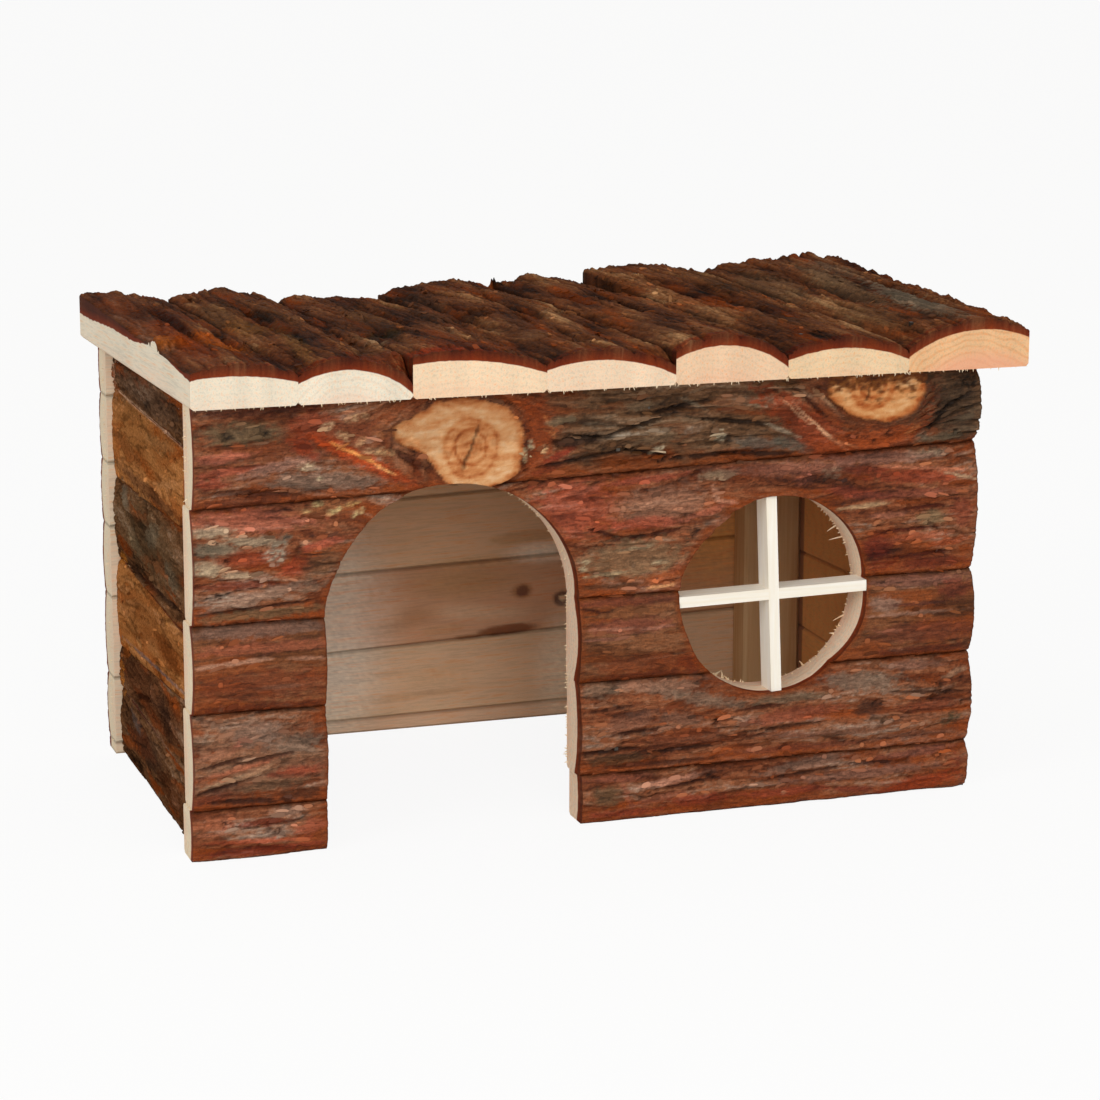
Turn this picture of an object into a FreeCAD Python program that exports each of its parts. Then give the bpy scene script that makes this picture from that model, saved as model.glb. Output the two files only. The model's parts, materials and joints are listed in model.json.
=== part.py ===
"""Wooden hamster house: a small-pet house nailed up from slab boards with the bark left on.

Every board is a slab, the outer slice of a log: one flat sawn face, one round bark face.
Frame: +Z up, +X to the right seen from the front, the front wall faces -Y.
The origin is on the ground, under the middle of the roof. All sizes are millimetres.
"""
import FreeCAD
import Part
import math
import os

Vector = FreeCAD.Vector

# ---------------------------------------------------------------- overall
WALL_HEIGHT = 144.5
ROOF_DEPTH = 160.0
ROOF_OVER_FRONT = 4.5      # roof edge to the crown of the front wall
ROOF_OVER_BACK = 7.5
ROOF_OVER_RIGHT = 14.5     # roof edge to the end of the front wall
ROOF_OVER_LEFT = 0.0

# ---------------------------------------------------------------- slabs
SLAB_CROWN = 15.5          # front and back boards, thickest line, bark and all
SLAB_EDGE = 11.5           # the same boards at their two long edges
SIDE_CROWN = 13.5
SIDE_EDGE = 12.5
MIN_LOG_RADIUS = 16.0      # low boards are sawn from logs no thinner than this
LEFT_WALL_INSET = 1.5      # crown of the left wall behind the end of the front wall
RIGHT_WALL_PROUD = 2.0     # crown of the right wall past the other end

# Joints between the courses of a wall, from the top down, at the two ends of the wall: left and
# right on the front and back walls, front and back on the side walls.
HEAD_JOINT = (-4.0, 3.0)        # front wall, from the top of the doorway
WINDOW_JOINTS = (3.0, -25.2)    # front wall, above and below course 3, from the window's middle
FRONT_FOOT_JOINT = 16.3         # front wall, above the ground
BACK_JOINT_DROPS = ((17.2, 18.5), (40.5, 35.5), (63.0, 54.5), (88.0, 81.0), (117.0, 108.0))
BACK_FOOT_STRIP = (4.0, 7.0)    # the thin strip under the back wall
LEFT_JOINT_DROPS = ((16.0, 14.5), (42.0, 45.5), (77.0, 74.0), (98.0, 105.5), (122.5, 120.5))
RIGHT_JOINT_DROPS = ((23.5, 26.5), (55.5, 53.0), (84.0, 87.0), (117.5, 114.5))

# Roof boards from left to right: width at the front, then the heights above the walls of the
# left edge, crown and right edge, first at the front end and then at the back end.
ROOF_BOARDS = (
    (33.4, (11.8, 13.6, 9.9), (15.3, 15.7, 11.8)),
    (36.3, (9.4, 13.8, 5.4), (13.0, 15.4, 9.4)),
    (43.5, (13.2, 14.7, 8.8), (10.0, 11.6, 9.6)),
    (43.0, (9.5, 12.9, 6.2), (11.5, 15.2, 11.6)),
    (38.4, (11.2, 15.6, 7.2), (13.0, 15.4, 10.8)),
    (42.4, (8.7, 12.9, 7.2), (16.2, 18.5, 13.6)),
    (43.0, (8.2, 16.6, 12.5), (14.6, 18.8, 16.6)),
)
# sideways run of each long edge of the boards from left to right, front to back
ROOF_EDGE_RUN = (-4.2, -6.4, -3.2, -10.2, -10.2, -14.0, -9.0, 4.2)

# The main furrows that split the old bark of each roof board: place across the board, start and
# end along it, all as shares, then width and depth.
BARK_FURROWS = (
    ((0.50, 0.30, 0.88, 6.5, 2.4), (0.82, 0.14, 0.62, 5.5, 2.0)),
    ((0.36, 0.24, 0.84, 7.5, 2.6), (0.78, 0.14, 0.60, 6.0, 2.2)),
    ((0.50, 0.34, 0.86, 8.0, 2.4), (0.84, 0.18, 0.86, 6.0, 2.2), (0.16, 0.12, 0.48, 5.5, 1.8)),
    ((0.13, 0.22, 0.86, 6.5, 2.2), (0.60, 0.30, 0.86, 7.5, 2.6), (0.48, 0.06, 0.34, 6.0, 1.8)),
    ((0.45, 0.34, 0.72, 9.0, 2.8), (0.80, 0.14, 0.56, 6.0, 2.0), (0.22, 0.54, 0.84, 6.0, 2.0)),
    ((0.45, 0.22, 0.78, 8.0, 2.8), (0.78, 0.12, 0.50, 6.0, 2.0), (0.24, 0.52, 0.84, 7.0, 2.2)),
    ((0.70, 0.10, 0.92, 9.0, 3.0), (0.30, 0.26, 0.84, 8.0, 2.6)),
)
FURROW_RUN_OUT = 0.3       # share of a furrow's length over which each end rises to the bark
FURROW_LIP = 0.4           # how far a furrow's cutting shape stands proud of the bark

# ---------------------------------------------------------------- doorway and window
DOOR_WIDTH = 84.0
DOOR_HEIGHT = 116.0        # top of the round head
DOOR_FROM_LEFT = 84.5      # middle of the doorway, from the left end of the wall
WINDOW_DIAMETER = 66.0
WINDOW_HEIGHT = 72.5       # middle of the window above the ground
WINDOW_FROM_LEFT = 193.6

BAR_WIDTH = 3.6
BAR_DEPTH = 8.5
BAR_SETBACK = 5.0          # back of the cross to the inner face of the wall
UPRIGHT_BAR_LEAN = 2.5     # degrees, its top to the left: the hand-set cross isn't quite true
LEVEL_BAR_LEAN = 1.0       # degrees, its right end up

# ---------------------------------------------------------------- posts and brads
POST_WIDTH = 22.0
POST_THICK = 12.0
POST_ARRIS = 1.2           # planed-off long edges
MIDDLE_POST_FROM_LEFT = 144.0

BRAD_LENGTH = 20.0
BRAD_WIDE = 1.3
BRAD_THICK = 1.1
BRAD_SUNK = 0.8            # top of the brad below the bark
BRAD_SPREAD = 5.0          # each of a pair, to either side of the post's middle line
SIDE_BRAD_INSET = 9.0      # side wall brads, from the face of the post against front or back wall
ROOF_BRAD_INSET = 5.5      # roof brads, from the inner face of the wall under them
BRAD_PAIR_SHARE = 0.22     # height of each of a pair, from the middle of the board
PAIR_MIN_HEIGHT = 12.0     # lower boards take one brad at each post
ROOF_BRAD_PLACES = (0.27, 0.77)   # places of a pair across a roof board

# ---------------------------------------------------------------- worked out from the above
ROOF_WIDTH = sum(board[0] for board in ROOF_BOARDS)
WALL_LEFT = -ROOF_WIDTH / 2 + ROOF_OVER_LEFT
WALL_RIGHT = ROOF_WIDTH / 2 - ROOF_OVER_RIGHT
FRONT_INNER = -ROOF_DEPTH / 2 + ROOF_OVER_FRONT + SLAB_CROWN
BACK_INNER = ROOF_DEPTH / 2 - ROOF_OVER_BACK - SLAB_CROWN
LEFT_INNER = WALL_LEFT + LEFT_WALL_INSET + SIDE_CROWN
RIGHT_INNER = WALL_RIGHT + RIGHT_WALL_PROUD - SIDE_CROWN
DOOR_SPRING = DOOR_HEIGHT - DOOR_WIDTH / 2   # where the round head starts
DOOR_X = WALL_LEFT + DOOR_FROM_LEFT
WINDOW_X = WALL_LEFT + WINDOW_FROM_LEFT
MIDDLE_POST_X = WALL_LEFT + MIDDLE_POST_FROM_LEFT
PAST = 2 * SLAB_CROWN      # how far cutting shapes run past the wood

X, Y, Z = Vector(1, 0, 0), Vector(0, 1, 0), Vector(0, 0, 1)


# ---------------------------------------------------------------- slab boards
def blend(pair, share):
    """A value part of the way between the two ends of a board."""
    return pair[0] + (pair[1] - pair[0]) * share


def block(near, far):
    """Solid between two quadrilaterals whose joining faces are flat."""
    faces = [near, far]
    for i in range(4):
        faces.append([near[i], near[i - 1], far[i - 1], far[i]])
    shell = Part.makeShell([Part.Face(Part.makePolygon(face + face[:1])) for face in faces])
    solid = Part.Solid(shell)
    if solid.Volume < 0:
        solid.reverse()
    return solid


class Profile:
    """The end of a slab: its width, and the circle through left edge, crown and right edge."""

    def __init__(self, width, left, crown, right):
        self.width = width
        self.crown = crown
        # centre of the circle through (0, left), (width / 2, crown) and (width, right)
        half = width / 2
        up, down = crown - left, right - crown
        mid_up, mid_down = (crown + left) / 2, (right + crown) / 2
        self.out = (up * mid_up - down * mid_down - half * half) / (up - down)
        self.at = half / 2 + (mid_up - self.out) * up / half
        self.radius = math.hypot(self.at, left - self.out)


class Board:
    """A slab sawn from a round log: bark outside, a flat inner face, two straight long edges.

    near and far are the corners of the inner face where the left edge starts and ends. The
    board's width runs along the unit vector across, its thickness along the unit vector out.
    """

    def __init__(self, near, far, across, out, near_profile, far_profile):
        self.corners = (near, far)
        self.across, self.out = across, out
        self.widths = (near_profile.width, far_profile.width)
        self.radius = (near_profile.radius + far_profile.radius) / 2
        self.centre_at = (near_profile.at, far_profile.at)
        self.centre_out = [profile.out + profile.radius - self.radius
                           for profile in (near_profile, far_profile)]
        tall = 2 * max(near_profile.crown, far_profile.crown)
        ends = [self.quad(end, tall) for end in (0, 1)]
        start, finish = [self.corners[end] + across * self.centre_at[end]
                         + out * self.centre_out[end] for end in (0, 1)]
        axis = finish - start
        margin = Vector(axis).normalize() * self.radius
        log = Part.makeCylinder(self.radius, axis.Length + 2 * self.radius, start - margin, axis)
        self.shape = block(*ends).common(log)

    def quad(self, end, tall):
        corner, side = self.corners[end], self.across * self.widths[end]
        return [corner, corner + side, corner + side + self.out * tall, corner + self.out * tall]

    def furrow(self, part, start, end, wide, deep):
        """Shape that cuts a furrow: a straight V that narrows and rises to a point at each end."""
        run_out = (end - start) * FURROW_RUN_OUT
        middle = (start + end) / 2
        heart = (blend(self.corners, middle) + self.across * blend(self.centre_at, middle)
                 + self.out * blend(self.centre_out, middle))
        outward = (self.bark_point(middle, part) - heart).normalize()
        places = (start, start + run_out, end - run_out, end)
        first, near, far, last = [self.bark_point(share, part) for share in places]
        sideways = (far - near).cross(outward).normalize() * (wide / 2)
        section = [outward * FURROW_LIP - sideways, outward * -deep, outward * FURROW_LIP + sideways]
        rings = [[middle_line + corner for corner in section] for middle_line in (near, far)]
        tips = [tip + outward * FURROW_LIP / 2 for tip in (first, last)]
        faces = [[tip, ring[i], ring[i - 1]] for tip, ring in zip(tips, rings) for i in range(3)]
        faces += [[rings[0][i], rings[0][i - 1], rings[1][i - 1], rings[1][i]] for i in range(3)]
        shell = Part.makeShell([Part.Face(Part.makePolygon(face + face[:1])) for face in faces])
        solid = Part.Solid(shell)
        if solid.Volume < 0:
            solid.reverse()
        return solid

    def width(self, share):
        return blend(self.widths, share)

    def bark_point(self, share, part):
        """Point on the bark a share of the way along and a part of the way across."""
        at = self.width(share) * part
        reach = self.radius ** 2 - (at - blend(self.centre_at, share)) ** 2
        thick = blend(self.centre_out, share) + math.sqrt(max(reach, 0))
        return blend(self.corners, share) + self.across * at + self.out * thick


def course(near, far, out, low, high, edge, crown):
    """A lying board of a wall between two heights at each end."""
    profiles = []
    for height in (high[0] - low[0], high[1] - low[1]):
        half = height / 2
        flattest = MIN_LOG_RADIUS - math.sqrt(max(MIN_LOG_RADIUS ** 2 - half ** 2, 0))
        rise = crown - edge
        if half < MIN_LOG_RADIUS:
            rise = min(rise, flattest)
        profiles.append(Profile(height, edge, edge + rise, edge))
    return Board(near + Z * low[0], far + Z * low[1], Z, out, *profiles)


def below_eaves(drops):
    """Joints given by how far they lie below the top of the wall."""
    return [(WALL_HEIGHT - near, WALL_HEIGHT - far) for near, far in drops]


def front_joints():
    """The front wall's joints follow the doorway and window that are sawn through them."""
    head = tuple(DOOR_HEIGHT + offset for offset in HEAD_JOINT)
    beside_window = [(WINDOW_HEIGHT + offset,) * 2 for offset in WINDOW_JOINTS]
    return [head] + beside_window + [(FRONT_FOOT_JOINT,) * 2]


def wall(near, far, out, joints, edge, crown):
    """The courses of a wall from the top down, edge to edge between the joints."""
    levels = [(WALL_HEIGHT, WALL_HEIGHT)] + joints + [(0.0, 0.0)]
    return [course(near, far, out, low, high, edge, crown)
            for high, low in zip(levels[:-1], levels[1:])]


def wall_brads(board, run, length, spread):
    """Points on the bark of a wall board: a staggered pair, or one on a low board."""
    sides = (-1, 1) if board.width(run / length) > PAIR_MIN_HEIGHT else (0,)
    return [board.bark_point((run + side * spread) / length, 0.5 + BRAD_PAIR_SHARE * side)
            for side in sides]


# ---------------------------------------------------------------- brads
def brad(surface, inward, wide_way):
    """A headless brad sunk below a point of the bark, and the hole it leaves behind."""
    thick_way = inward.cross(wide_way)

    def bar(start, length):
        corner = surface + inward * start - wide_way * (BRAD_WIDE / 2) - thick_way * (BRAD_THICK / 2)
        outline = Part.makePolygon([corner, corner + wide_way * BRAD_WIDE,
                                    corner + wide_way * BRAD_WIDE + thick_way * BRAD_THICK,
                                    corner + thick_way * BRAD_THICK, corner])
        return Part.Face(outline).extrude(inward * length)

    return bar(BRAD_SUNK, BRAD_LENGTH), bar(-PAST, PAST + BRAD_SUNK + BRAD_LENGTH)


class Nailing:
    """Drives brads and remembers which boards they bore through."""

    def __init__(self):
        self.groups = {}
        self.holes = {}

    def drive(self, group, surface, inward, wide_way, *boards):
        metal, hole = brad(surface, inward, wide_way)
        self.groups.setdefault(group, []).append(metal)
        for board in boards:
            self.holes.setdefault(board, []).append(hole)


# ---------------------------------------------------------------- doorway, window and its cross
def doorway_cutter():
    half = DOOR_WIDTH / 2
    depth = 2 * PAST
    start = FRONT_INNER - PAST
    legs = Part.makeBox(DOOR_WIDTH, depth, DOOR_SPRING + PAST, Vector(DOOR_X - half, start, -PAST))
    head = Part.makeCylinder(half, depth, Vector(DOOR_X, start, DOOR_SPRING), Y)
    return legs.fuse(head).removeSplitter()


def window_cutter():
    start = Vector(WINDOW_X, FRONT_INNER - PAST, WINDOW_HEIGHT)
    return Part.makeCylinder(WINDOW_DIAMETER / 2, 2 * PAST, start, Y)


def window_bars():
    """Upright and level bar, cut to the round hole, halved into each other at the crossing."""
    back = FRONT_INNER - BAR_SETBACK
    front = back - BAR_DEPTH
    middle = Vector(WINDOW_X, front, WINDOW_HEIGHT)
    reach = WINDOW_DIAMETER / 2 + BAR_WIDTH

    def bar(lean, depth, start):
        """A bar lying along +X before it is turned by its lean."""
        blank = Part.makeBox(2 * reach, depth, BAR_WIDTH,
                             Vector(WINDOW_X - reach, start, WINDOW_HEIGHT - BAR_WIDTH / 2))
        blank.rotate(middle, Y, lean)
        return blank

    upright_lean = 90 - UPRIGHT_BAR_LEAN
    upright = bar(upright_lean, BAR_DEPTH, front)
    level = bar(-LEVEL_BAR_LEAN, BAR_DEPTH, front)
    front_half = bar(upright_lean, BAR_DEPTH / 2, front)
    back_half = bar(-LEVEL_BAR_LEAN, BAR_DEPTH / 2, front + BAR_DEPTH / 2)
    hole = window_cutter()
    upright = upright.cut(back_half).common(hole)
    level = level.cut(front_half).common(hole)
    return upright, level


# ---------------------------------------------------------------- posts
def post(x_low, y_low):
    blank = Part.makeBox(POST_WIDTH, POST_THICK, WALL_HEIGHT, Vector(x_low, y_low, 0))
    long_edges = [edge for edge in blank.Edges
                  if abs(edge.Vertexes[0].Z - edge.Vertexes[-1].Z) > WALL_HEIGHT / 2]
    return blank.makeChamfer(POST_ARRIS, long_edges)


def posts():
    back_y = BACK_INNER - POST_THICK
    right_x = RIGHT_INNER - POST_WIDTH
    return {
        "front_left_post": post(LEFT_INNER, FRONT_INNER),
        "front_right_post": post(right_x, FRONT_INNER),
        "back_left_post": post(LEFT_INNER, back_y),
        "back_right_post": post(right_x, back_y),
        "front_middle_post": post(MIDDLE_POST_X - POST_WIDTH / 2, FRONT_INNER),
    }


# ---------------------------------------------------------------- roof
def roof_boards():
    """The roof slabs from left to right, each between its own two long edges."""
    front_y, back_y = -ROOF_DEPTH / 2, ROOF_DEPTH / 2
    left = -ROOF_WIDTH / 2
    boards = []
    for i, (width, front, back) in enumerate(ROOF_BOARDS):
        near = Vector(left, front_y, WALL_HEIGHT)
        far = Vector(left + ROOF_EDGE_RUN[i], back_y, WALL_HEIGHT)
        far_width = width + ROOF_EDGE_RUN[i + 1] - ROOF_EDGE_RUN[i]
        board = Board(near, far, X, Z, Profile(width, *front), Profile(far_width, *back))
        board.shape = board.shape.cut([board.furrow(*furrow) for furrow in BARK_FURROWS[i]])
        boards.append(board)
        left += width
    return boards


def roof_brads(board, y):
    """Two points on the bark of a roof board, inside the ends of the wall below it."""
    share = y / ROOF_DEPTH + 0.5
    left = blend([corner.x for corner in board.corners], share)
    width = board.width(share)
    low, high = max(left, WALL_LEFT), min(left + width, WALL_RIGHT)
    return [board.bark_point(share, (low + (high - low) * place - left) / width)
            for place in ROOF_BRAD_PLACES]


# ---------------------------------------------------------------- the whole house
def left_to_right(shape):
    return sorted(shape.Solids, key=lambda solid: solid.CenterOfMass.x)


def build():
    nodes = {}
    nailing = Nailing()
    ends = {
        "front": (Vector(WALL_LEFT, FRONT_INNER, 0), Vector(WALL_RIGHT, FRONT_INNER, 0)),
        "back": (Vector(WALL_LEFT, BACK_INNER, 0), Vector(WALL_RIGHT, BACK_INNER, 0)),
        "left": (Vector(LEFT_INNER, FRONT_INNER, 0), Vector(LEFT_INNER, BACK_INNER, 0)),
        "right": (Vector(RIGHT_INNER, FRONT_INNER, 0), Vector(RIGHT_INNER, BACK_INNER, 0)),
    }
    walls = {
        "front": wall(*ends["front"], -Y, front_joints(), SLAB_EDGE, SLAB_CROWN),
        "back": wall(*ends["back"], Y, below_eaves(BACK_JOINT_DROPS) + [BACK_FOOT_STRIP],
                     SLAB_EDGE, SLAB_CROWN),
        "left": wall(*ends["left"], -X, below_eaves(LEFT_JOINT_DROPS), SIDE_EDGE, SIDE_CROWN),
        "right": wall(*ends["right"], X, below_eaves(RIGHT_JOINT_DROPS), SIDE_EDGE, SIDE_CROWN),
    }

    # the front courses, sawn through by the doorway and the window
    opening = doorway_cutter().fuse(window_cutter())
    piece_names = {1: ("",), 2: ("_left", "_right"), 3: ("_left", "_middle", "_right"),
                   4: ("_left", "_right"), 5: ("_left", "_right")}
    front_pieces = {}
    for number, board in enumerate(walls["front"], start=1):
        pieces = left_to_right(board.shape.cut(opening))
        for suffix, piece in zip(piece_names[number], pieces):
            name = f"front_slab_{number}{suffix}"
            nodes[name] = piece
            front_pieces.setdefault(number, []).append(name)
    for side in ("back", "left", "right"):
        for number, board in enumerate(walls[side], start=1):
            nodes[f"{side}_slab_{number}"] = board.shape
    nodes.update(posts())
    roof = roof_boards()
    for number, board in enumerate(roof, start=1):
        nodes[f"roof_slab_{number}"] = board.shape
    nodes["window_bar_upright"], nodes["window_bar_level"] = window_bars()

    # front and back walls nailed to the posts behind them
    wall_width = WALL_RIGHT - WALL_LEFT
    wall_depth = BACK_INNER - FRONT_INNER
    left_post_x = LEFT_INNER + POST_WIDTH / 2
    right_post_x = RIGHT_INNER - POST_WIDTH / 2
    front_posts = (("front_left_post", left_post_x), ("front_middle_post", MIDDLE_POST_X),
                   ("front_right_post", right_post_x))
    back_posts = (("back_left_post", left_post_x), ("back_right_post", right_post_x))
    for number, board in enumerate(walls["front"], start=1):
        for post_name, post_x in front_posts:
            for spot in wall_brads(board, post_x - WALL_LEFT, wall_width, BRAD_SPREAD):
                in_the_wood = Vector(spot.x, FRONT_INNER - SLAB_EDGE / 2, spot.z)
                for name in front_pieces[number]:
                    if nodes[name].isInside(in_the_wood, 0.01, False):
                        nailing.drive("front_brads", spot, Y, X, name, post_name)
    for number, board in enumerate(walls["back"], start=1):
        for post_name, post_x in back_posts:
            for spot in wall_brads(board, post_x - WALL_LEFT, wall_width, BRAD_SPREAD):
                nailing.drive("back_brads", spot, -Y, X, f"back_slab_{number}", post_name)

    # side walls nailed to the same corner posts
    side_places = (("front", FRONT_INNER + SIDE_BRAD_INSET), ("back", BACK_INNER - SIDE_BRAD_INSET))
    for side, inward in (("left", X), ("right", -X)):
        for number, board in enumerate(walls[side], start=1):
            for end, y in side_places:
                for spot in wall_brads(board, y - FRONT_INNER, wall_depth, 0):
                    nailing.drive(f"{side}_brads", spot, inward, Y,
                                  f"{side}_slab_{number}", f"{end}_{side}_post")

    # roof nailed down into the top courses
    for number, board in enumerate(roof, start=1):
        for top, y in (("front_slab_1", FRONT_INNER - ROOF_BRAD_INSET),
                       ("back_slab_1", BACK_INNER + ROOF_BRAD_INSET)):
            for spot in roof_brads(board, y):
                nailing.drive("roof_brads", spot, -Z, Y, f"roof_slab_{number}", top)

    for name, holes in nailing.holes.items():
        nodes[name] = nodes[name].cut(holes)
    for name, metal in nailing.groups.items():
        nodes[name] = Part.makeCompound(metal)
    return nodes


def main():
    os.makedirs("parts", exist_ok=True)
    nodes = build()
    for name, shape in nodes.items():
        shape.exportStep(os.path.join("parts", f"{name}.step"))
        box = shape.BoundBox
        print(f"{name}: {len(shape.Solids)} solid(s), {shape.Volume / 1000:.2f} cm3, "
              f"{box.XLength:.1f} x {box.YLength:.1f} x {box.ZLength:.1f} mm, valid {shape.isValid()}")


main()
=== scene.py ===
# %% [markdown]
# # A hamster house nailed up from bark slabs
# The real house is made of slabs, the round outer slices that a sawmill cuts off a pine log. Each
# slab keeps its bark on the outside and is sawn flat inside. The slabs lie on one another as walls
# and side by side as a roof, nailed to posts in the corners, and a doorway and a round window are
# sawn through the front.
#
# The CAD solids already say where every slab, post and brad is. This script keeps those places and
# gives each slab what a plain solid can't show: flaking bark, sawn grain, knots and torn fibres.

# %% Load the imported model
import bpy
import json
import math
import numpy as np
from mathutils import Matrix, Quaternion, Vector

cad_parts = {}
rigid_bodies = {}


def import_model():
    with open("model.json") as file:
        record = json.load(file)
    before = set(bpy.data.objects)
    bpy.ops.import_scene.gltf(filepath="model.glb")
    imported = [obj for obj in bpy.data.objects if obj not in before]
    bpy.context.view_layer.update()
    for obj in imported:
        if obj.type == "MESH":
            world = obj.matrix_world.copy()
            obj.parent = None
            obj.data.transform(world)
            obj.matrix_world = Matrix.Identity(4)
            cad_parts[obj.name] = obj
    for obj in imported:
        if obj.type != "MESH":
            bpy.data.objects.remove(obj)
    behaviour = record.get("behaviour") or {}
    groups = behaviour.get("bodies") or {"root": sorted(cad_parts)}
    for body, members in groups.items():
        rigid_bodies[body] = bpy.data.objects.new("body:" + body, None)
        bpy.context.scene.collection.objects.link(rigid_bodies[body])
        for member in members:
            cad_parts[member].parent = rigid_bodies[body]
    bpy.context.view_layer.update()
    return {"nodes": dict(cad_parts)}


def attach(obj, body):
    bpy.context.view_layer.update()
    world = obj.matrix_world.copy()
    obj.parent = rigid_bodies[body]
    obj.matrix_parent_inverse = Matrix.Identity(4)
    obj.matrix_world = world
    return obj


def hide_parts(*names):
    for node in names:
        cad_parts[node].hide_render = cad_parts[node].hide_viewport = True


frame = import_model()
MM = 0.001   # the sizes below are millimetres, Blender works in metres


# %% [markdown]
# ## Colours
# Paints and woods are written as sRGB hex values, because that is how a colour picker shows them.
# Blender mixes light in linear values, so one function turns every hex value into those.

# %% Colours from hex
def linear(code):
    """Linear RGBA from an sRGB hex colour."""
    parts = [int(code[i:i + 2], 16) / 255 for i in (0, 2, 4)]
    return [c / 12.92 if c <= 0.04045 else ((c + 0.055) / 1.055) ** 2.4 for c in parts] + [1.0]


def ramp(codes, share):
    """Colours part of the way along a row of hex colours, for many shares from 0 to 1 at once."""
    rows = np.array([linear(code)[:3] for code in codes])
    place = np.clip(share, 0, 1) * (len(rows) - 1)
    first = np.minimum(place.astype(int), len(rows) - 2)
    part = (place - first)[:, None]
    return rows[first] * (1 - part) + rows[first + 1] * part


def painted(colour, paint, share):
    """Colours with a paint over them, thin where the share is near 0 and full where it is 1."""
    return colour * (1 - share[:, None]) + paint * share[:, None]


print("mid grey is", round(linear("808080")[0], 3))


# %% [markdown]
# ## Noise for bark
# Bark is never regular, yet each kind has its own grain: long, thin and ragged. Three recipes make
# that. Smooth noise gives soft swellings. Several sizes of it added up give a rough surface. Cells
# round scattered points give plates with cracks between them. All three take a seed, so the same
# board comes out each time the script runs.

# %% Noise recipes
def scatter(ix, iy, seed):
    """A fixed random number from 0 to 1 for each pair of whole numbers: large odd factors and
    shifts stir the bits."""
    n = (ix.astype(np.int64) * 374761393 + iy.astype(np.int64) * 668265263 + seed * 974711) & 0xFFFFFFFF
    n = ((n ^ (n >> 13)) * 1274126177) & 0xFFFFFFFF
    n = ((n ^ (n >> 15)) * 2246822519) & 0xFFFFFFFF
    return ((n ^ (n >> 16)) & 0xFFFFFF) / 0xFFFFFF


def soft(x, y, seed):
    """Smooth noise from about -1 to 1 with swellings one unit wide."""
    ix, iy = np.floor(x), np.floor(y)
    fx, fy = x - ix, y - iy
    ease_x, ease_y = (f * f * f * (f * (f * 6 - 15) + 10) for f in (fx, fy))
    total = 0
    for i in (0, 1):
        for j in (0, 1):
            turn = scatter(ix + i, iy + j, seed) * 2 * np.pi
            slope = np.cos(turn) * (fx - i) + np.sin(turn) * (fy - j)
            total = total + slope * (ease_x if i else 1 - ease_x) * (ease_y if j else 1 - ease_y)
    return total * 1.5


def rough(x, y, seed, sizes=4):
    """Smooth noise with finer and finer copies of itself added."""
    total, weight = 0, 1.0
    for k in range(sizes):
        total = total + weight * soft(x * 2 ** k + 17.3 * k, y * 2 ** k - 9.1 * k, seed + k)
        weight *= 0.55
    return total


def cells(x, y, seed):
    """For each place: how far inside its cell it lies, and a random number for that cell."""
    ix, iy = np.floor(x), np.floor(y)
    near, second = np.full(x.shape, 9.0), np.full(x.shape, 9.0)
    number = np.zeros(x.shape)
    for i in (-1, 0, 1):
        for j in (-1, 0, 1):
            cx, cy = ix + i, iy + j
            away = np.hypot(cx + scatter(cx, cy, seed) - x, cy + scatter(cx, cy, seed + 7) - y)
            closer = away < near
            second = np.where(closer, near, np.minimum(second, away))
            number = np.where(closer, scatter(cx, cy, seed + 13), number)
            near = np.where(closer, away, near)
    return second - near, number


def step(low, high, value):
    """0 below low, 1 above high, smooth between."""
    part = np.clip((value - low) / (high - low), 0, 1)
    return part * part * (3 - 2 * part)


print("noise at one place:", round(float(rough(np.array([0.3]), np.array([4.2]), 5)[0]), 3))


# %% [markdown]
# ## The shape of a slab
# A slab is a slice of a round log. Seen from its end, the bark is an arc through three points: the
# left edge, the crown and the right edge. Two ends and a straight log between them fix the whole
# board. The sizes are the same as in the solids, so each dressed board fits where its solid was.
# Every place on a board can be given as s along it, t across it and d out of its sawn inner face.

# %% Slab
class Slab:
    """One board: near and far corners of its inner face, and its profile at both ends."""

    def __init__(self, near, far, across, out, near_profile, far_profile):
        self.near, self.far = np.array(near, float), np.array(far, float)
        self.across, self.out = np.array(across, float), np.array(out, float)
        line = self.far - self.near
        self.along = line - self.across * line.dot(self.across)
        self.length = np.linalg.norm(self.along)
        self.along /= self.length
        self.profiles = list(zip(near_profile, far_profile))

    def blend(self, pair, s):
        """A size that changes evenly from one end to the other, at s."""
        return pair[0] + (pair[1] - pair[0]) * s / self.length

    def width(self, s):
        """Height of a wall board or width of a roof board at s."""
        return self.blend(self.profiles[0], s)

    def log(self, s):
        """The log at s: how far across and out of the inner face its heart lies, and its radius."""
        width, left, crown, right = (self.blend(pair, s) for pair in self.profiles)
        half, up, down = width / 2, crown - left, right - crown
        out = (up * (crown + left) / 2 - down * (right + crown) / 2 - half * half) / (up - down)
        at = half / 2 + ((crown + left) / 2 - out) * up / half
        return at, out, np.hypot(at, left - out)

    def thickness(self, s, t):
        """Inner face to the smooth log, at s along and t across the board."""
        at, out, radius = self.log(s)
        return out + np.sqrt(np.maximum(radius ** 2 - (t - at) ** 2, 0))

    def place(self, s, t, d):
        """World places in mm."""
        share = (s / self.length)[:, None]
        return (self.near + (self.far - self.near) * share
                + self.across * t[:, None] + self.out * d[:, None])

    def local(self, places):
        """s, t and d of world places in mm."""
        gap = places - self.near
        s = gap @ self.along
        gap = gap - (self.far - self.near) * (s / self.length)[:, None]
        return s, gap @ self.across, gap @ self.out


# %% [markdown]
# ## Sizes of the house
# These are the driving values of the solids, in millimetres: the walls' joints, the roof boards'
# edges and crowns, and where the doorway and the window are sawn. A joint has two heights, one at
# each end of its wall.

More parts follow.
